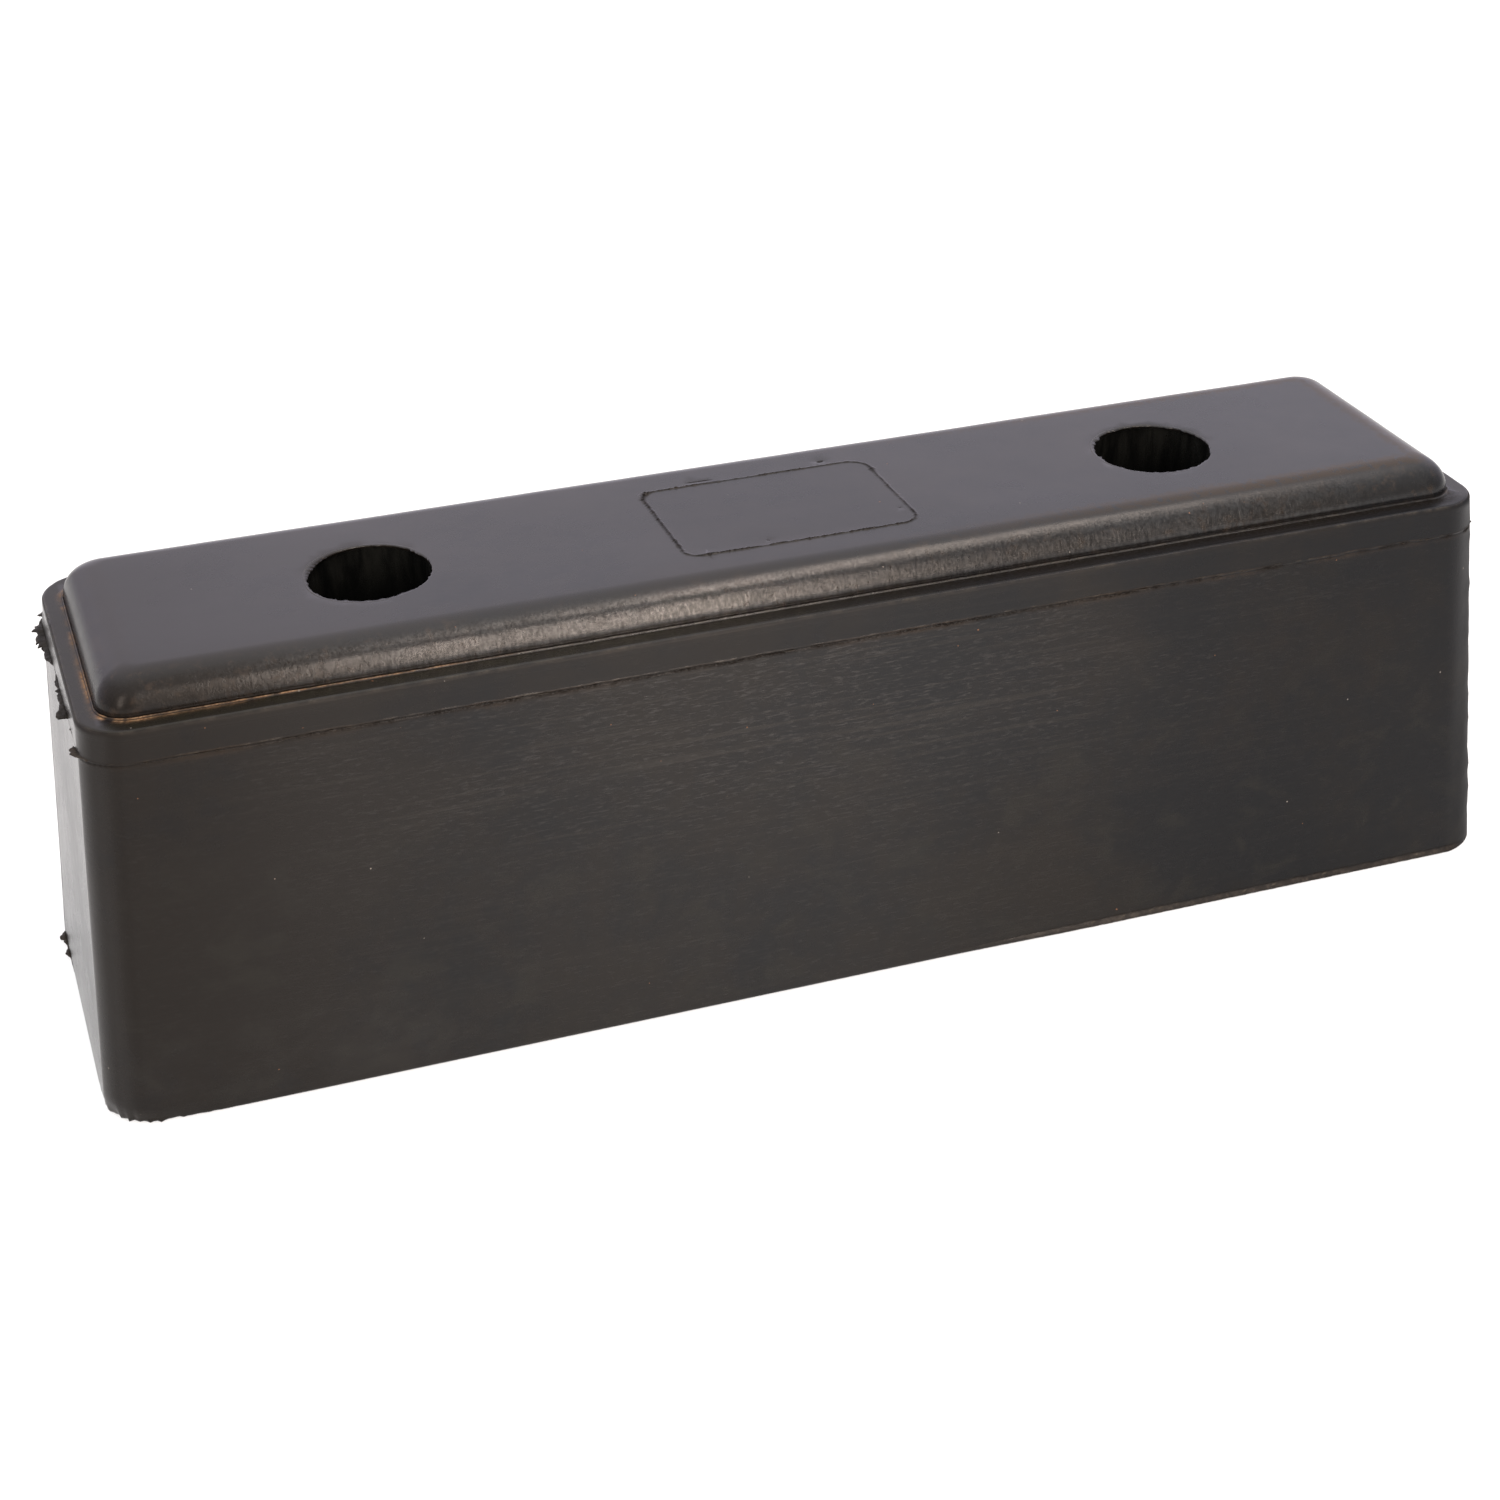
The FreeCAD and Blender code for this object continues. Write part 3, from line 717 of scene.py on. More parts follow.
# the bead at the wall's foot: orange residue on the left; elsewhere pale marks, partly dust and partly a painted
# highlight along its bright line; dark line marks at its outer edge and on the wall just above it are painted shade in
# the crease
for u, h, share in ((0.0, 0.0, 0.1), (0.05, 0.14, 0.7), (0.16, 0.26, 1.0), (0.29, 0.25, 1.0), (0.40, 0.12, 0.4), (0.49, 0.09, 0.0), (0.53, 0.20, 0.0), (0.52, 0.36, 0.0)):
    res = left_front * (0.10 + 0.90 * broken) * share * (0.95 - 0.10 * left)
    pale_and_highlight = (1 - left_front) * (0.15 + 0.85 * grime_and_highlight) * share * 0.45
    bead = (1 + 0.25 * noise1(RUN / 1.6, 59, 2, LOOP / 1.6)) * (1.15 - 0.75 * smooth(60, 125, bx0) * on_front)
    row(fx - u, fy - u, CAP_R + FOOT - u, LZ, dz=h * bead if share else h, marks=marks(residue=res, pale=pale_and_highlight, line=(0.45 + 0.45 * np.maximum(left, smooth(70, 120, -bx0))) * (share < 0.2)))

# the rounded edge of the raised top
zb = LZ + 0.40
for deg in (3, 8, 13, 18, 23, 28, 33, 38, 43, 48, 53, 58, 63, 68, 73, 78, 82, 85.5, 88):
    a = math.radians(deg)
    u = FA * (1 - math.cos(a)) + 0.02
    zz = zb + (ZTOP - float(crown(u)) - zb) * math.sin(a)
    row(CAPX - u, CAPY - u, CAP_R + (CAP_RI - CAP_R) * u / FA, zz)
for u in (FA, FA + 1.2):
    row(CAPX - u, CAPY - u, CAP_RI, ZTOP - float(crown(u)))

ids = [body.add(p, m) for p, m in rows]
for a, b in zip(ids[:-1], ids[1:]):
    body.band(a, b)

# ---- the flat top: holes, the rectangle's witness line
pts2, ids2, loops, opens = [], [], [], []


def put(points, z, mk=None, closed=True, listed=True):
    first = len(pts2)
    p = np.column_stack([points, np.broadcast_to(z, len(points))])
    m = np.zeros((len(p), 4)) if mk is None else mk
    got = body.add(p, m)
    pts2.extend([tuple(q) for q in points])
    ids2.extend(got.tolist())
    idx = list(range(first, first + len(points)))
    if listed:
        (loops if closed else opens).append(idx)
    return got


edge = rows[-1][0]
pts2.extend([tuple(q[:2]) for q in edge])
ids2.extend(ids[-1].tolist())
loops.append(list(range(len(edge))))

NH = 300
hole_rings = {}
for sgn in (-1, 1):
    cx = sgn * HOLE_X
    ang = np.arange(NH) / NH * 2 * math.pi
    unit = np.column_stack([np.cos(ang), np.sin(ang)])
    arc = ang * 13.0
    seed = 60 if sgn < 0 else 90
    torn = np.clip(noise1(arc / 2.4, seed, 3, 13.0 * 2 * math.pi / 2.4) * 0.55 + 0.12, 0, 0.6)
    torn += np.clip(noise1(arc / 1.1, seed + 5, 2, 13.0 * 2 * math.pi / 1.1) - 0.05, 0, 1) * 0.55
    # the top of the bore is torn wider, mostly towards the front right
    shift = np.array([0.12, -0.98]) if sgn < 0 else np.array([0.52, -0.62])
    grow = np.maximum(0.34 + unit @ shift, 0.0)
    fit = (-0.20, 0.17, -0.30, -0.05, 0.42, -0.09, -0.09) if sgn < 0 else (-0.07, -0.26, -0.46, -0.17, 0.17, -0.07, 0.06)
    for k, c in enumerate(fit):
        order = (k + 1) // 2
        grow = grow + c * (np.cos(order * ang) if k % 2 or not k else np.sin(order * ang))
    lip = circle(cx, 0, BORE_R + 0.02, NH) + unit * grow[:, None]
    got = put(lip, top_z(lip[:, 0], lip[:, 1]) - 0.03)
    hole_rings[sgn] = (got, torn, cx, grow)
    # a shallow witness line beside it, left and back
    lean = 2.35 if sgn < 0 else 2.0
    gap = np.maximum(0.24, 0.14 - grow + 0.05 * noise1(arc / 3.0, seed + 7, 2, 13.0 * 2 * math.pi / 3.0))
    faint = np.clip(0.25 + 0.9 * noise1(arc / 5.0, seed + 9, 2, 13.0 * 2 * math.pi / 5.0) + 0.35 * np.cos(ang - lean), 0, 1)
    for rr, dz, mm, ll in ((0.0, 0.0, 0.0, 0.0), (0.13, 0.05, 0.9, 0.0), (0.25, -0.05, 0.2, 0.35), (0.38, 0.0, 0.0, 0.0)):
        mk = np.zeros((NH, 4))
        mk[:, 2] = mm * faint * 0.6
        mk[:, 0] = ll * faint
        q = lip + unit * (gap + rr)[:, None]
        put(q, top_z(q[:, 0], q[:, 1]) + dz * faint, mk)

# rectangle: a thin, dark, ragged seam; at its back left corner the seam is wider, deeper and lumpier
PR = (3.6, 4.4, 4.8, 3.6)
PNX, PNY, PNC = 210, 138, 24
pc, pn = rounded(PAD_X, PAD_Y, PR, PNX, PNY, PNC)
pseg = np.linalg.norm(np.roll(pc, -1, 0) - pc, axis=1)
prun = np.concatenate([[0], np.cumsum(pseg)[:-1]])
PLOOP = float(pseg.sum())
pc = pc + np.array([PAD_CX, PAD_CY])
pc += pn * (0.10 * noise1(prun / 7.0, 101, 2, PLOOP / 7.0) + 0.07 * noise1(prun / 0.9, 103, 2, PLOOP / 0.9))[:, None]
pdeep = np.clip(0.70 + 0.5 * noise1(prun / 2.6, 107, 3, PLOOP / 2.6), 0.25, 1.0)
pbits = np.clip(noise1(prun / 0.55, 109, 2, PLOOP / 0.55) * 1.5 - 0.1, 0, 1)
tl = np.exp(-((pc[:, 0] + 25.5) ** 2 + (pc[:, 1] - 16.5) ** 2) / 1.8 ** 2)
tr = np.exp(-((pc[:, 0] - 26.7) ** 2 + (pc[:, 1] - 11.5) ** 2) / 1.3 ** 2)
back = smooth(10, 16, pc[:, 1]) * smooth(-25, -10, pc[:, 0])     # thinner along the back
thin = smooth(25.0, 26.5, pc[:, 0]) * smooth(-13.5, -10, pc[:, 1]) * (1 - smooth(8, 11, pc[:, 1]))
bl = np.exp(-((pc[:, 0] + 21.5) ** 2 + (pc[:, 1] + 18.0) ** 2) / 1.5 ** 2)
pdeep = np.clip(pdeep * (1 - 0.3 * back) * (1 - 0.45 * thin) + 0.7 * tl + 0.7 * tr + 0.5 * bl, 0, 1.3)
wide = (0.74 + 1.15 * pbits * pdeep) * (1 + 0.75 * tl + 0.8 * tr + 0.7 * bl) * (1 - 0.32 * thin - 0.12 * smooth(23, 25.5, -pc[:, 0]))
for off, dz, ln, pa, re in (
    (-0.56, 0.0, 0.0, 0.0, 0.0),
    (-0.32, 0.02, 0.55, 0.06, 0.04),
    (-0.15, 0.20, 1.0, 0.0, 0.05),
    (0.01, 0.30, 1.0, 0.0, 0.04),
    (0.16, 0.18, 1.0, 0.0, 0.05),
    (0.33, 0.02, 0.55, 0.08, 0.04),
    (0.58, 0.0, 0.0, 0.0, 0.0),
):
    flat = abs(off) > 0.45
    q = pc + pn * (off * ((1.20 + 0.45 * pbits) * (1 + 1.1 * tl + 0.6 * tr) if flat else wide))[:, None]
    mk = np.zeros((len(q), 4))
    mk[:, 0] = np.clip(ln * (0.60 + 0.5 * pdeep), 0, 1)
    mk[:, 1] = re * pbits * (1 + 2 * tl)
    mk[:, 2] = pa * pbits
    lump = (0.14 + 0.20 * tl) * pbits * pdeep * (abs(off) < 0.2)
    put(q, top_z(q[:, 0], q[:, 1]) + dz * pdeep + lump, mk)

# a second, shorter seam beside the back left of it, and two nicks
def nick(line_pts, deep_, half=0.17, mark=1.0):
    p = np.array(line_pts, float)
    steps = []
    for a, b in zip(p[:-1], p[1:]):
        k = max(1, int(np.linalg.norm(b - a) / 0.35))
        steps.extend([a + (b - a) * i / k for i in range(k)])
    steps.append(p[-1])
    q = np.array(steps)
    t = np.linspace(0, 1, len(q))
    fade = np.sin(np.pi * np.clip(t, 0, 1)) ** 0.5
    d = np.gradient(q, axis=0)
    nn = np.stack([-d[:, 1], d[:, 0]], 1) / (np.linalg.norm(d, axis=1)[:, None] + 1e-9)
    jag = noise1(np.arange(len(q)) / 2.3, 131, 2)
    q = q + nn * (0.06 * jag * fade)[:, None]
    for off, dz, ln in ((-2.0, 0.0, 0.0), (-0.8, -0.5, 0.85), (0.2, -1.0, 1.0), (1.0, -0.3, 0.7), (2.1, 0.0, 0.0)):
        s = q + nn * (off * half * (0.35 + 0.65 * fade))[:, None]
        mk = np.zeros((len(s), 4))
        mk[:, 0] = ln * mark * np.clip(0.4 + 0.7 * fade + 0.3 * jag, 0, 1) * (fade > 0.05)
        put(s, top_z(s[:, 0], s[:, 1]) + dz * deep_ * fade, mk, closed=False)


nick([(-14.6, 19.35), (-11.4, 19.3), (-8.0, 19.1)], 0.16, 0.24)
nick([(16.8, 19.75), (18.6, 19.95)], 0.30, 0.38)
nick([(24.5, -10.3), (25.4, -10.7)], 0.09, 0.14, 0.9)
nick([(-7.6, -15.5), (-6.6, -16.2)], 0.08, 0.14, 0.7)

taken = np.array(pts2)
grid = []
gx, gy = np.meshgrid(np.arange(-138.5, 139, 2.1), np.arange(-21.2, 21.6, 2.1))
gg = np.column_stack([gx.ravel(), gy.ravel()])
gg += 0.35 * np.column_stack([vnoise(np.column_stack([gg * 0.77, gg[:, 0] * 0]), 7), vnoise(np.column_stack([gg * 0.77, gg[:, 0] * 0]), 8)])
for q in gg:
    if min(abs(math.hypot(q[0] - s * HOLE_X, q[1])) for s in (-1, 1)) < BORE_R + 0.3:
        continue
    if np.min(np.sum((taken - q) ** 2, 1)) < 1.1 ** 2:
        continue
    grid.append(q)
grid = np.array(grid)
put(grid, top_z(grid[:, 0], grid[:, 1]), listed=False)


def keep_top(x, y):
    ok = np.ones(len(x), bool)
    for s in (-1, 1):
        turn = np.arctan2(y, x - s * HOLE_X) % (2 * math.pi)
        lip_r = BORE_R + 0.02 + np.interp(turn, np.arange(NH + 1) / NH * 2 * math.pi, np.append(hole_rings[s][3], hole_rings[s][3][0]))
        ok &= np.hypot(x - s * HOLE_X, y) > lip_r
    return ok & (np.abs(x) < CAPX - FA) & (np.abs(y) < CAPY - FA)


body.fill(pts2, ids2, loops, opens, keep_top, True)

# ---- bores: torn lip, wall down to the steel
bore_foot = {}
lip_moves = []
for sgn, (got, torn, cx, grow) in hole_rings.items():
    ang = np.arange(NH) / NH * 2 * math.pi
    ca, sa = np.cos(ang), np.sin(ang)
    lip_moves.append((got, torn, ca, sa))
    previous = got
    zt = ZTOP - 0.03
    lumps = noise1(ang * 13 / 6.0, 140 + sgn, 2, 13 * 2 * math.pi / 6.0)
    steps = [(0.16, 0.92, 1.0), (0.42, 0.38, 0.95), (0.85, 0.06, 0.85), (1.6, 0.0, 0.7), (3.5, 0.0, 0.4), (6, 0.0, 0.15)]
    steps += [(d, 0.0, 0.0) for d in np.arange(10, zt - Z_PLATE - 1.5, 5.0)] + [(zt - Z_PLATE, 0.0, 0.0)]
    for d, share, wider in steps:
        rr = BORE_R - torn * share + np.where(grow > 0, grow * wider, grow * max(0.0, 1 - d / 1.4)) + (0.03 * lumps if 1 < d < zt - Z_PLATE - 1 else 0)
        z = zt - d
        mk = np.zeros((NH, 4))
        mk[:, 0] = 0.7 if d < 0.7 else 0.0
        cur = body.add(np.column_stack([cx + rr * ca, rr * sa, np.full(NH, z)]), mk)
        body.band(cur[::-1], previous[::-1])
        previous = cur
    bore_foot[sgn] = previous

# ---- the pocket that holds the insert bar, and the seats of the two bushes
PX, PY = PLATE_HI.x * MM, PLATE_HI.y * MM
pocket = rounded(PX, PY, 8.0, 40, 10, 6)[0]
up_ring = body.add(np.column_stack([pocket, np.full(len(pocket), Z_PLATE)]))
low_ring = body.add(np.column_stack([pocket, np.full(len(pocket), Z_SEAT)]))
body.band(low_ring[::-1], up_ring[::-1])
k2, i2, l2 = [tuple(q) for q in pocket], up_ring.tolist(), [list(range(len(pocket)))]
for sgn in (-1, 1):
    first = len(k2)
    k2 += [tuple(q) for q in circle(sgn * HOLE_X, 0, BORE_R, NH)]
    i2 += bore_foot[sgn].tolist()
    l2.append(list(range(first, first + NH)))
body.fill(k2, i2, l2, [], lambda x, y: (np.abs(x) < PX) & (np.abs(y) < PY) & (np.hypot(x - HOLE_X, y) > BORE_R) & (np.hypot(x + HOLE_X, y) > BORE_R), False)
NS = 72
seat_top, seat_low = {}, {}
k2, i2, l2 = [tuple(q) for q in pocket], low_ring.tolist(), [list(range(len(pocket)))]
for sgn in (-1, 1):
    c = circle(sgn * HOLE_X, 0, SEAT_R, NS)
    seat_top[sgn] = body.add(np.column_stack([c, np.full(NS, Z_SEAT)]))
    mid = body.add(np.column_stack([c, np.full(NS, 0.7)]))
    wide_c = circle(sgn * HOLE_X, 0, SEAT_R + 0.05, NS)
    seat_low[sgn] = body.add(np.column_stack([circle(sgn * HOLE_X, 0, SEAT_R + 0.4, NS), np.full(NS, 0.0)]), np.tile([0.5, 0, 0, 0.2], (NS, 1)))
    near = body.add(np.column_stack([wide_c, np.full(NS, 0.32)]), np.tile([0.8, 0, 0, 0], (NS, 1)))
    body.band(mid[::-1], seat_top[sgn][::-1])
    body.band(near[::-1], mid[::-1])
    body.band(seat_low[sgn][::-1], near[::-1])
    first = len(k2)
    k2 += [tuple(q) for q in c]
    i2 += seat_top[sgn].tolist()
    l2.append(list(range(first, first + NS)))
body.fill(k2, i2, l2, [], lambda x, y: (np.abs(x) < PX) & (np.abs(y) < PY) & (np.hypot(x - HOLE_X, y) > SEAT_R - 0.01) & (np.hypot(x + HOLE_X, y) > SEAT_R - 0.01), True)

# ---- underside
first_row = rows[0][0]
k2, i2, l2 = [tuple(q[:2]) for q in first_row], ids[0].tolist(), [list(range(N))]
for sgn in (-1, 1):
    first = len(k2)
    k2 += [tuple(q) for q in circle(sgn * HOLE_X, 0, SEAT_R + 0.4, NS)]
    i2 += seat_low[sgn].tolist()
    l2.append(list(range(first, first + NS)))
gx, gy = np.meshgrid(np.arange(-156, 157, 4.0), np.arange(-40, 41, 4.0))
gg = np.column_stack([gx.ravel(), gy.ravel()])
gg = gg[np.minimum(np.hypot(gg[:, 0] - HOLE_X, gg[:, 1]), np.hypot(gg[:, 0] + HOLE_X, gg[:, 1])) > SEAT_R + 1.5]
hx, hy, r = side(0)
dx, dy = np.maximum(np.abs(gg[:, 0]) - (hx - r), 0), np.maximum(np.abs(gg[:, 1]) - (hy - r), 0)
gg = gg[np.hypot(dx, dy) < r - 2.5]
gid = body.add(np.column_stack([gg, np.zeros(len(gg))]))
k2 += [tuple(q) for q in gg]
i2 += gid.tolist()


def keep_under(x, y):
    return inside(first_row[:, :2], x, y) & (np.hypot(x - HOLE_X, y) > SEAT_R + 0.39) & (np.hypot(x + HOLE_X, y) > SEAT_R + 0.39)


body.fill(k2, i2, l2, [], keep_under, False)


def hand_made(co):
    """The torn lips, then the slight unevenness of a moulded block, none around the insert pocket."""
    co = co.copy()
    for got, torn, ca, sa in lip_moves:
        co[got, 0] -= torn * ca
        co[got, 1] -= torn * sa
    q = co / 26.0
    amp = 0.07 * smooth(0, 4, co[:, 2])
    move = np.column_stack([vnoise(q, 201), vnoise(q, 202), vnoise(q, 203)])
    q = co / 9.0
    move += 0.35 * np.column_stack([vnoise(q, 211), vnoise(q, 212), vnoise(q, 213)])
    inner = (np.abs(co[:, 0]) < PX + 0.5) & (np.abs(co[:, 1]) < PY + 0.5) & (co[:, 2] < Z_PLATE + 0.5)
    amp[inner] = 0
    return co + move * amp[:, None]


block = body.object("rubber_body", [RUBBER, RUBBER_LOW], hand_made)
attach(block, "root")
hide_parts("rubber_block")


# ---------------------------------------------------------------- thin flash left by the mould
def fin(build, path, normal, up, stick, thick, rootin=0.3, least=0.03, lift=None, mk=(0, 0, 0, 0)):
    """Closed slivers along a path, standing out by stick wherever that is more than least."""
    path, normal, up = (np.asarray(a, float) for a in (path, normal, up))
    stick = np.asarray(stick, float)
    lift = np.zeros(len(path)) if lift is None else lift
    on = stick > least
    i = 0
    while i < len(path):
        if not on[i]:
            i += 1
            continue
        j = i
        while j + 1 < len(path) and on[j + 1]:
            j += 1
        a, b = max(0, i - 1), min(len(path) - 1, j + 1)
        k = np.arange(a, b + 1)
        if len(k) >= 3:
            s = stick[k].copy()
            s[0] = s[-1] = least * 0.5
            th = thick * (0.55 + 0.45 * np.clip(s / (s.max() + 1e-9), 0, 1))
            root = path[k] - normal[k] * rootin
            tip = path[k] + normal[k] * s[:, None] + up[k] * lift[k][:, None]
            ring4 = [root + up[k] * (th / 2)[:, None], root - up[k] * (th / 2)[:, None],
                     tip - up[k] * (th * 0.25)[:, None], tip + up[k] * (th * 0.25)[:, None]]
            rws = [build.add(r4, np.tile(mk, (len(k), 1))) for r4 in ring4]
            for q in range(4):
                build.band(rws[q], rws[(q + 1) % 4], closed=False)
            build.faces.append(tuple(int(rws[q][0]) for q in range(4)))
            build.faces.append(tuple(int(rws[q][-1]) for q in (3, 2, 1, 0)))
        i = j + 1


def perimeter(z, step, out=0.0):
    """Points and outward normals round the block at height z, evenly spaced."""
    hx_, hy_, r_ = side(z)
    p, n = rounded(hx_, hy_, r_, 700, 160, 40)
    p = p + n * out
    s = np.concatenate([[0], np.cumsum(np.linalg.norm(np.diff(np.vstack([p, p[:1]]), axis=0), axis=1))])
    t = np.arange(0, s[-1], step)
    pp = np.vstack([p, p[:1]])
    nn = np.vstack([n, n[:1]])
    xy = np.column_stack([np.interp(t, s, pp[:, 0]), np.interp(t, s, pp[:, 1])])
    nv = np.column_stack([np.interp(t, s, nn[:, 0]), np.interp(t, s, nn[:, 1])])
    nv /= np.linalg.norm(nv, axis=1)[:, None]
    return np.column_stack([xy, np.full(len(t), z)]), np.column_stack([nv, np.zeros(len(t))]), t


seam = Build()
P, Q, S = perimeter(PART_Z + 0.08, 0.3)
UPV = np.tile([0.0, 0.0, 1.0], (len(P), 1))
stick = np.clip(noise1(S / 2.2, 301, 3) * 0.55 - 0.10 + 0.12 * noise1(S / 30.0, 303) + 0.12 * noise1(S / 0.6, 302), 0, 0.44)
fin(seam, P, Q, UPV, stick, 0.13, lift=0.06 * noise1(S / 1.1, 305), mk=(0.25, 0.05, 0.05, 0.15))

# the wide, torn flash left on one end: lobes and sharp teeth
def teeth(s_, seed, gap, tall, wide_):
    """Pointed teeth about every gap millimetres along s_."""
    k = np.arange(int(s_.max() / gap) + 2)
    at = (k + 0.42 * _hash(k, k * 0, k * 0, seed)) * gap
    high = tall * (0.5 + 0.5 * _hash(k, k * 0 + 1, k * 0, seed)) ** 1.6
    half = wide_ * (0.75 + 0.35 * _hash(k, k * 0 + 2, k * 0, seed))
    lean = 0.45 * _hash(k, k * 0 + 3, k * 0, seed)
    d = s_[:, None] - at[None, :]
    side_ = np.where(d < 0, half * (1 - lean), half * (1 + lean))
    return np.max(high * np.clip(1 - np.abs(d) / side_, 0, 1), axis=1)


def sheet(build, outline, z, thick, relief, lift, mk, jag=0.07, pitch=0.45, seed=500):
    """A thin, rough sheet with the given outline, its rim sharper than its middle."""
    o = np.asarray(outline, float)
    fine = []
    for p, q in zip(o, np.roll(o, -1, 0)):
        k = max(1, int(np.linalg.norm(q - p) / 0.3))
        for i in range(k):
            w = i / k
            kink_ = jag * _hash(np.array([len(fine)]), np.array([0]), np.array([0]), seed)[0] * (1 if i else 0)
            d = (q - p) / (np.linalg.norm(q - p) + 1e-9)
            fine.append(p + (q - p) * w + kink_ * np.array([-d[1], d[0]]))
    fine = np.array(fine)
    lo, hi = fine.min(0), fine.max(0)
    gx_, gy_ = np.meshgrid(np.arange(lo[0], hi[0], pitch), np.arange(lo[1], hi[1], pitch))
    g = np.column_stack([gx_.ravel(), gy_.ravel()])
    g = g + 0.25 * pitch * np.column_stack([vnoise(np.column_stack([g * 3.1, g[:, 0] * 0]), seed + 1), vnoise(np.column_stack([g * 3.1, g[:, 0] * 0]), seed + 2)])
    g = g[inside(fine, g[:, 0], g[:, 1])]
    near = np.sqrt(((g[:, None, :] - fine[None, :, :]) ** 2).sum(2)).min(1)
    g, near = g[near > 0.17], near[near > 0.17]
    every = np.vstack([fine, g])
    rim_ = np.concatenate([np.zeros(len(fine)), near])
    base = z + lift * (vnoise(np.column_stack([every / 3.0, every[:, 0] * 0]), seed + 3) + 0.5 * vnoise(np.column_stack([every / 1.2, every[:, 0] * 0]), seed + 4))
    half = thick * (0.22 + 0.28 * smooth(0, 0.8, rim_))
    bumpy = relief * vnoise(np.column_stack([every * 1.9, every[:, 0] * 0]), seed + 5)
    n0 = len(fine)
    dark = np.tile(np.asarray(mk, float), (len(every), 1))
    top_ = build.add(np.column_stack([every, base + half + bumpy * smooth(0, 0.4, rim_)]), dark)
    low_ = build.add(np.column_stack([every, base - half]), dark)
    flat2 = [tuple(p) for p in every]
    loop = [list(range(n0))]
    test = lambda x, y: inside(fine, x, y)
    build.fill(flat2, top_.tolist(), loop, [], test, True)
    build.fill(flat2, low_.tolist(), loop, [], test, False)
    turn_ = np.sum((np.roll(fine[:, 0], -1) - fine[:, 0]) * (np.roll(fine[:, 1], -1) + fine[:, 1]))
    a_, b_ = low_[:n0], top_[:n0]
    build.band(a_ if turn_ < 0 else a_[::-1], b_ if turn_ < 0 else b_[::-1])


TORN = [(-154.2, 39.3), (-154.4, 38.9), (-154.0, 38.0), (-154.1, 37.2), (-155.0, 35.6), (-155.9, 34.9), (-155.2, 33.9), (-155.0, 32.9),
        (-154.8, 32.6), (-155.4, 32.0), (-155.9, 30.8), (-156.2, 29.8), (-157.1, 29.2), (-156.8, 28.5), (-157.1, 28.0), (-157.9, 27.3),
        (-157.0, 26.5), (-156.75, 25.3), (-157.3, 24.3), (-157.5, 23.1), (-157.4, 22.0), (-157.7, 20.7), (-157.0, 21.3), (-157.15, 20.2),
        (-157.5, 19.1), (-156.5, 19.5), (-156.4, 17.9), (-156.2, 16.2), (-156.6, 14.6), (-156.55, 13.2), (-155.9, 11.2), (-155.7, 10.2),
        (-155.2, 9.2), (-155.25, 7.5), (-155.15, 5.6), (-155.5, 4.0), (-155.55, 3.3), (-155.85, 2.3), (-155.85, 0.4), (-155.4, -1.4),
        (-155.8, -2.0), (-156.2, -2.5), (-155.65, -3.6), (-156.1, -4.6), (-156.1, -6.2), (-155.9, -8.3), (-156.25, -9.8), (-156.45, -11.3),
        (-157.1, -12.3), (-157.3, -13.5), (-157.0, -14.4), (-154.5, -14.8)]
Pt, Qt, St = perimeter(PART_Z + 0.08, 0.8)
back_ = (Qt[:, 0] < -0.55) & (Pt[:, 1] > -14.2)
root_ = (Pt - 0.55 * Qt)[back_][:, :2]
root_ = root_[np.argsort(root_[:, 1])]
tear = Build()
sheet(tear, TORN + [tuple(q) for q in root_], PART_Z + 0.12, 0.62, 0.14, 0.22, (0.08, 0.0, 0.08, 0.42))
# crumbs hanging under its thickest part, coloured near black: partly crumbs, partly painted shade under the flash
CRUMBS = [(-155.0, 23.6), (-156.0, 23.0), (-156.7, 21.9), (-156.3, 20.9), (-156.75, 19.9), (-156.2, 18.6), (-156.5, 17.4), (-156.2, 16.4),
          (-156.6, 15.2), (-156.3, 14.2), (-155.7, 13.4), (-155.0, 12.9), (-154.4, 13.4), (-154.4, 23.2)]
sheet(tear, CRUMBS, PART_Z - 0.75, 0.9, 0.2, 0.2, (0.95, 0.0, 0.0, 0.0), jag=0.12, seed=540)
# a pointed nib at the front corner of that end
NIB = [(-154.2, -29.3), (-155.0, -28.1), (-155.5, -27.3), (-155.7, -27.9), (-156.0, -28.0), (-156.45, -28.6), (-156.1, -29.3), (-156.5, -30.1),
       (-155.8, -31.2), (-155.2, -32.1), (-154.5, -33.0), (-153.8, -34.4), (-152.8, -34.2), (-153.6, -31.5)]
sheet(tear, NIB, PART_Z + 0.15, 0.55, 0.08, 0.12, (0.0, 0.05, 0.10, 0.45), jag=0.05, pitch=0.4, seed=560)
nib = 0.55 * bell(P[:, 1], -33.8, 0.5) * (P[:, 0] > 140)
fin(tear, P, Q, UPV, nib, 0.25, least=0.08, mk=(0.2, 0.0, 0.1, 0.3))
nib = 0.35 * bell(P[:, 1], -19.8, 0.35) * (P[:, 0] < -140)
fin(tear, P, Q, UPV, nib, 0.3, least=0.08, mk=(0.4, 0.0, 0.0, 0.2))

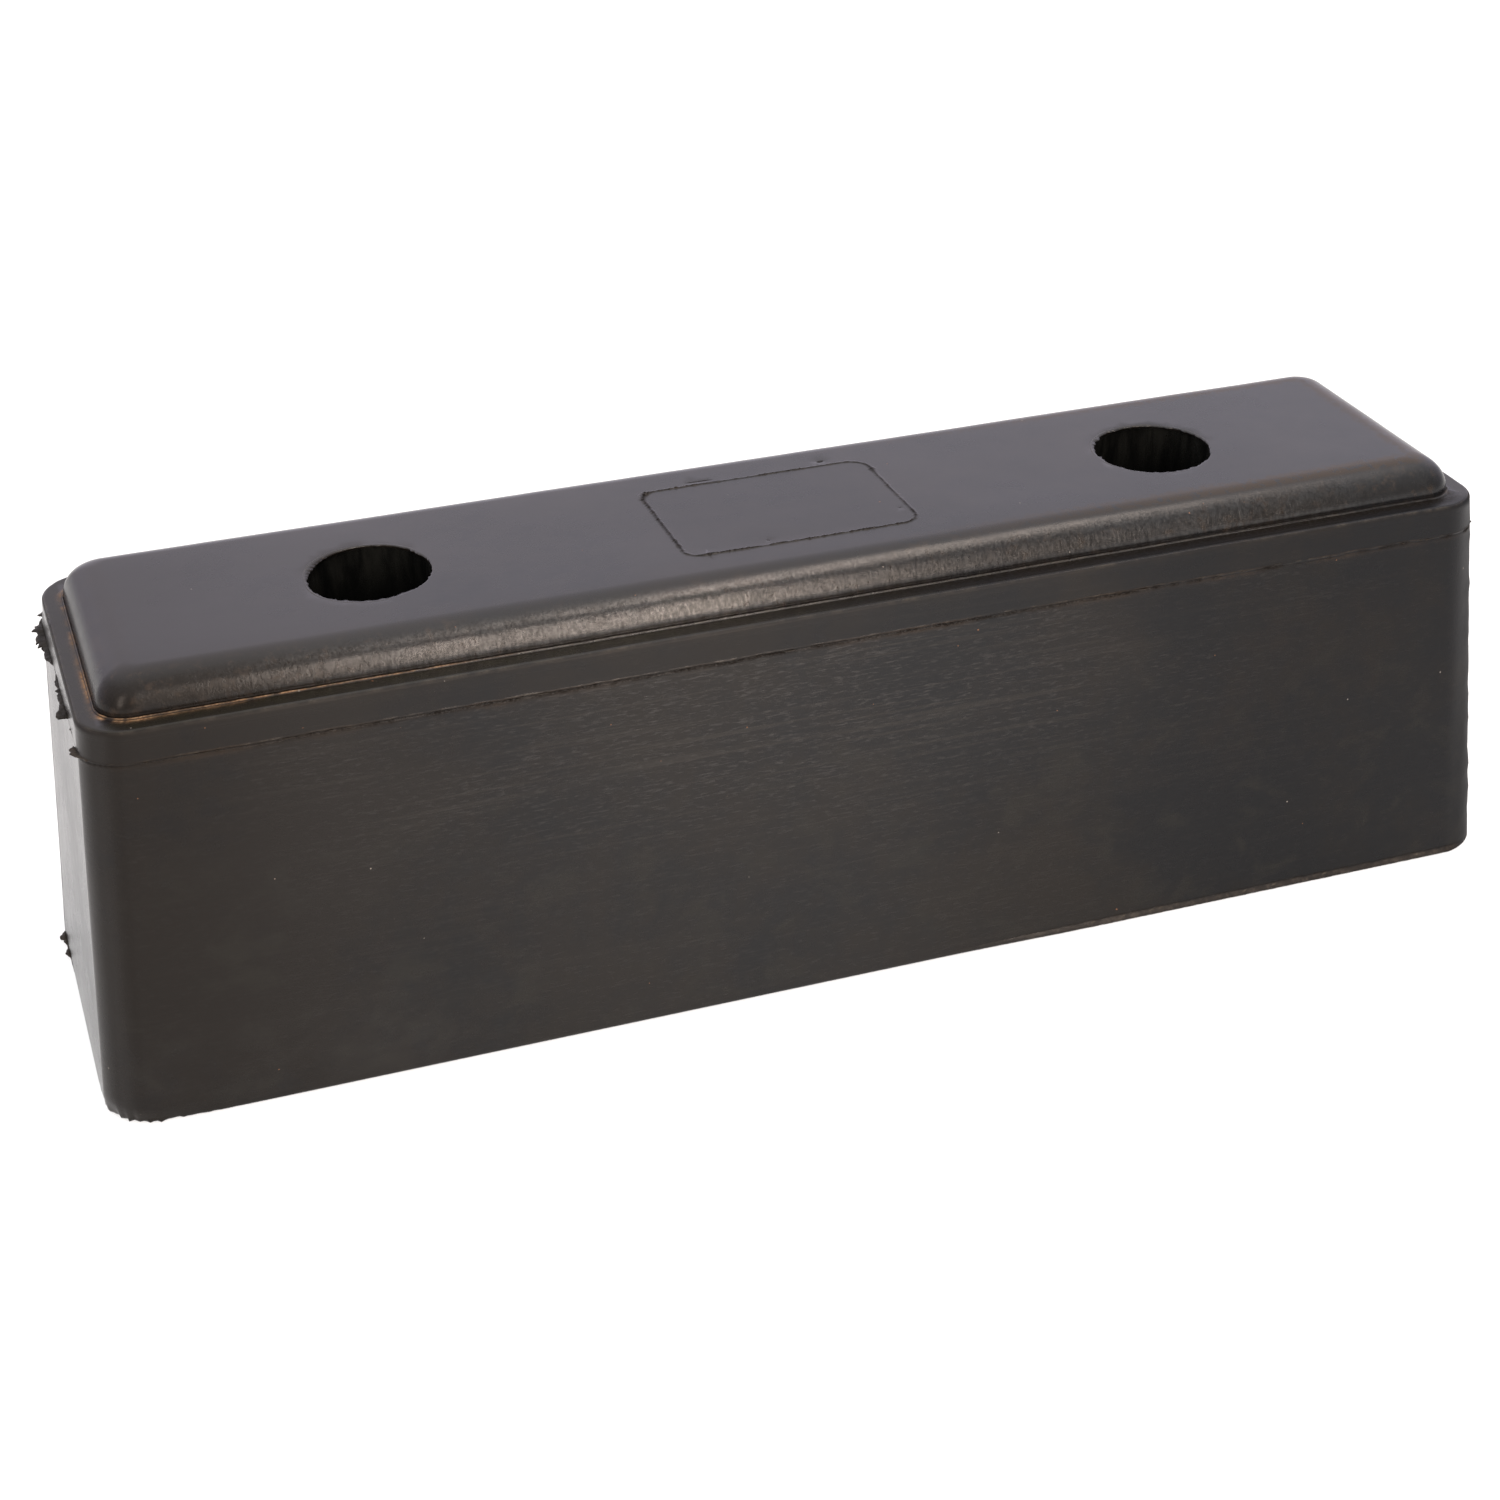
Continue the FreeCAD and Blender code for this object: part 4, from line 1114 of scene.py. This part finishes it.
# scraps along the lower edge
foot = Build()
P0, Q0, S0 = perimeter(0.35, 0.35)
UP0 = np.tile([0.0, 0.0, 1.0], (len(P0), 1))
front0 = (Q0[:, 1] < -0.5)
zone0 = np.maximum(0.30 * front0 * smooth(45, 80, P0[:, 0]), 0.6 * smooth(0.2, 0.6, noise1(S0 / 40.0, 331)))
zone0 = zone0 * (1 - (P0[:, 0] < -138) * (P0[:, 1] < -28))
st0 = np.clip(noise1(S0 / 1.7, 333, 3) * 0.55 - 0.05, 0, 0.5) * zone0
tags = (Q0[:, 0] < -0.5) * (1.15 * bell(P0[:, 1], 33.2, 2.0) + 1.0 * bell(P0[:, 1], 26.5, 1.4) + 0.25 * bell(P0[:, 1], 30, 8))
tags *= 0.95 + 0.6 * noise1(S0 / 0.8, 337, 2)
tags += (Q0[:, 0] < -0.5) * 0.5 * teeth(S0, 341, 1.3, 0.9, 0.5) * (bell(P0[:, 1], 33.2, 2.6) + bell(P0[:, 1], 26.5, 1.8))
st0 = np.clip(st0 + tags, 0, 1.5)
fin(foot, P0, Q0, UP0, st0, 0.3, lift=-0.06 + 0.1 * noise1(S0 / 1.3, 339), mk=(0.0, 0.05, 0.15, 0.6))

# burrs along the rectangle's seam
burr = Build()
bp = np.column_stack([pc, top_z(pc[:, 0], pc[:, 1]) - 0.10])
bn = np.tile([0.0, 0.0, 1.0], (len(bp), 1))
bu = -np.column_stack([pn, np.zeros(len(pn))])
bs = np.clip(noise1(prun / 1.2, 351, 3, PLOOP / 1.2) * 0.6 - 0.06 + 0.35 * tl + 0.25 * tr, 0, 0.42)
fin(burr, bp, bn, bu, bs, 0.26, rootin=0.12, least=0.04, lift=0.12 * noise1(prun / 0.9, 353), mk=(0.75, 0.05, 0.05, 0.0))

for b, name in ((seam, "parting_seam_flash"), (tear, "torn_end_flash"), (foot, "lower_edge_flash"), (burr, "rectangle_seam_burrs")):
    o = b.object(name, FLASH)
    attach(o, "root")

# ---------------------------------------------------------------- steel parts keep their CAD shape
for node in ("insert_plate", "spacer_bush_left", "spacer_bush_right"):
    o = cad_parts[node]
    if o.material_slots:
        for s in o.material_slots:
            s.material = STEEL
    else:
        o.data.materials.append(STEEL)


# ---------------------------------------------------------------- floor, world, lights
def floor():
    mesh = bpy.data.meshes.new("floor")
    n, size = 24, 3.2
    v = [((i / n - 0.5) * 2 * size, (j / n - 0.5) * 2 * size, -0.0003) for j in range(n + 1) for i in range(n + 1)]
    f = [(j * (n + 1) + i, j * (n + 1) + i + 1, (j + 1) * (n + 1) + i + 1, (j + 1) * (n + 1) + i) for j in range(n) for i in range(n)]
    mesh.from_pydata(v, [], f)
    mat = bpy.data.materials.new("floor")
    mat.use_nodes = True
    t = mat.node_tree
    t.nodes.clear()
    out = t.nodes.new("ShaderNodeOutputMaterial")
    mixer = t.nodes.new("ShaderNodeMixShader")
    soft = t.nodes.new("ShaderNodeMixShader")
    dif = t.nodes.new("ShaderNodeBsdfDiffuse")
    trl = t.nodes.new("ShaderNodeBsdfTranslucent")
    clear = t.nodes.new("ShaderNodeBsdfTransparent")
    geo = t.nodes.new("ShaderNodeNewGeometry")
    dif.inputs[0].default_value = (0.95, 0.95, 0.95, 1)
    trl.inputs[0].default_value = (0.95, 0.95, 0.95, 1)
    soft.inputs[0].default_value = 0.5
    t.links.new(dif.outputs[0], soft.inputs[1])
    t.links.new(trl.outputs[0], soft.inputs[2])
    t.links.new(geo.outputs["Backfacing"], mixer.inputs[0])
    t.links.new(soft.outputs[0], mixer.inputs[1])
    t.links.new(clear.outputs[0], mixer.inputs[2])
    t.links.new(mixer.outputs[0], out.inputs[0])
    mesh.materials.append(mat)
    o = bpy.data.objects.new("floor", mesh)
    bpy.context.scene.collection.objects.link(o)


floor()

LIGHT = dict(front=0.48, back=1.05, zenith=1.62, below=1.36)
FRONT_TINT, BACK_TINT, TOP_TINT = (1.0, 0.97, 0.94), (1.0, 0.94, 1.09), (1.0, 0.985, 0.985)


def studio_world():
    """Pale surroundings: dimmer in front, brighter behind and overhead, and a lit table below."""
    world = bpy.data.worlds.new("studio")
    bpy.context.scene.world = world
    world.use_nodes = True
    t = world.node_tree
    t.nodes.clear()
    out = t.nodes.new("ShaderNodeOutputWorld")
    bg = t.nodes.new("ShaderNodeBackground")
    tc = t.nodes.new("ShaderNodeTexCoord")
    sep = t.nodes.new("ShaderNodeSeparateXYZ")
    t.links.new(tc.outputs["Generated"], sep.inputs[0])

    def colour(rgb, k):
        return (rgb[0] * k, rgb[1] * k, rgb[2] * k, 1)

    def blend(fac, a, b):
        m = t.nodes.new("ShaderNodeMix")
        m.data_type = "RGBA"
        m.clamp_result = False
        t.links.new(fac, m.inputs[0])
        for s, v in ((m.inputs[6], a), (m.inputs[7], b)):
            if isinstance(v, bpy.types.NodeSocket):
                t.links.new(v, s)
            else:
                s.default_value = v
        return m.outputs[2]

    ramp = t.nodes.new("ShaderNodeMapRange")
    ramp.interpolation_type = "SMOOTHSTEP"
    t.links.new(sep.outputs["Y"], ramp.inputs["Value"])
    ramp.inputs["From Min"].default_value, ramp.inputs["From Max"].default_value = -0.7, 0.7
    sides = blend(ramp.outputs[0], colour(FRONT_TINT, LIGHT["front"]), colour(BACK_TINT, LIGHT["back"]))
    sq = t.nodes.new("ShaderNodeMath")
    sq.operation = "MULTIPLY"
    t.links.new(sep.outputs["Z"], sq.inputs[0])
    t.links.new(sep.outputs["Z"], sq.inputs[1])
    dome = blend(sq.outputs[0], sides, colour(TOP_TINT, LIGHT["zenith"]))
    low = t.nodes.new("ShaderNodeMath")
    low.operation = "LESS_THAN"
    t.links.new(sep.outputs["Z"], low.inputs[0])
    low.inputs[1].default_value = 0.0
    whole = blend(low.outputs[0], dome, colour((1, 1, 1), LIGHT["below"]))
    t.links.new(whole, bg.inputs["Color"])
    bg.inputs["Strength"].default_value = 1.0
    t.links.new(bg.outputs[0], out.inputs[0])


studio_world()


def softbox(name, direction, distance, width, height, radiance, colour):
    data = bpy.data.lights.new(name, "AREA")
    data.shape, data.size, data.size_y = "RECTANGLE", width, height
    data.energy = radiance * math.pi * width * height
    data.color = colour
    o = bpy.data.objects.new(name, data)
    bpy.context.scene.collection.objects.link(o)
    d = Vector(direction).normalized()
    o.location = Vector((0, 0, 0.05)) + d * distance
    o.rotation_mode = "QUATERNION"
    o.rotation_quaternion = d.to_track_quat("Z", "Y")
    o.visible_camera = False


def towards(azimuth, elevation):
    """A direction from the object: azimuth 0 is the front (-Y), positive to the right; both in radians."""
    return (math.sin(azimuth) * math.cos(elevation), -math.cos(azimuth) * math.cos(elevation), math.sin(elevation))


WARM = (1.0, 0.84, 0.73)
softbox("softbox_over", towards(1.223, 1.223), 1.6, 0.96, 0.200, 10.4 * 1.167, WARM)
softbox("softbox_front", towards(0.208, 0.423), 1.6, 0.14, 1.46, 24.8 * 1.167, WARM)
softbox("softbox_left", towards(-0.80, 0.47), 1.6, 0.24, 0.90, 7.2 * 1.167, WARM)

scene = bpy.context.scene
scene.view_settings.view_transform = "Standard"
scene.view_settings.look = "None"
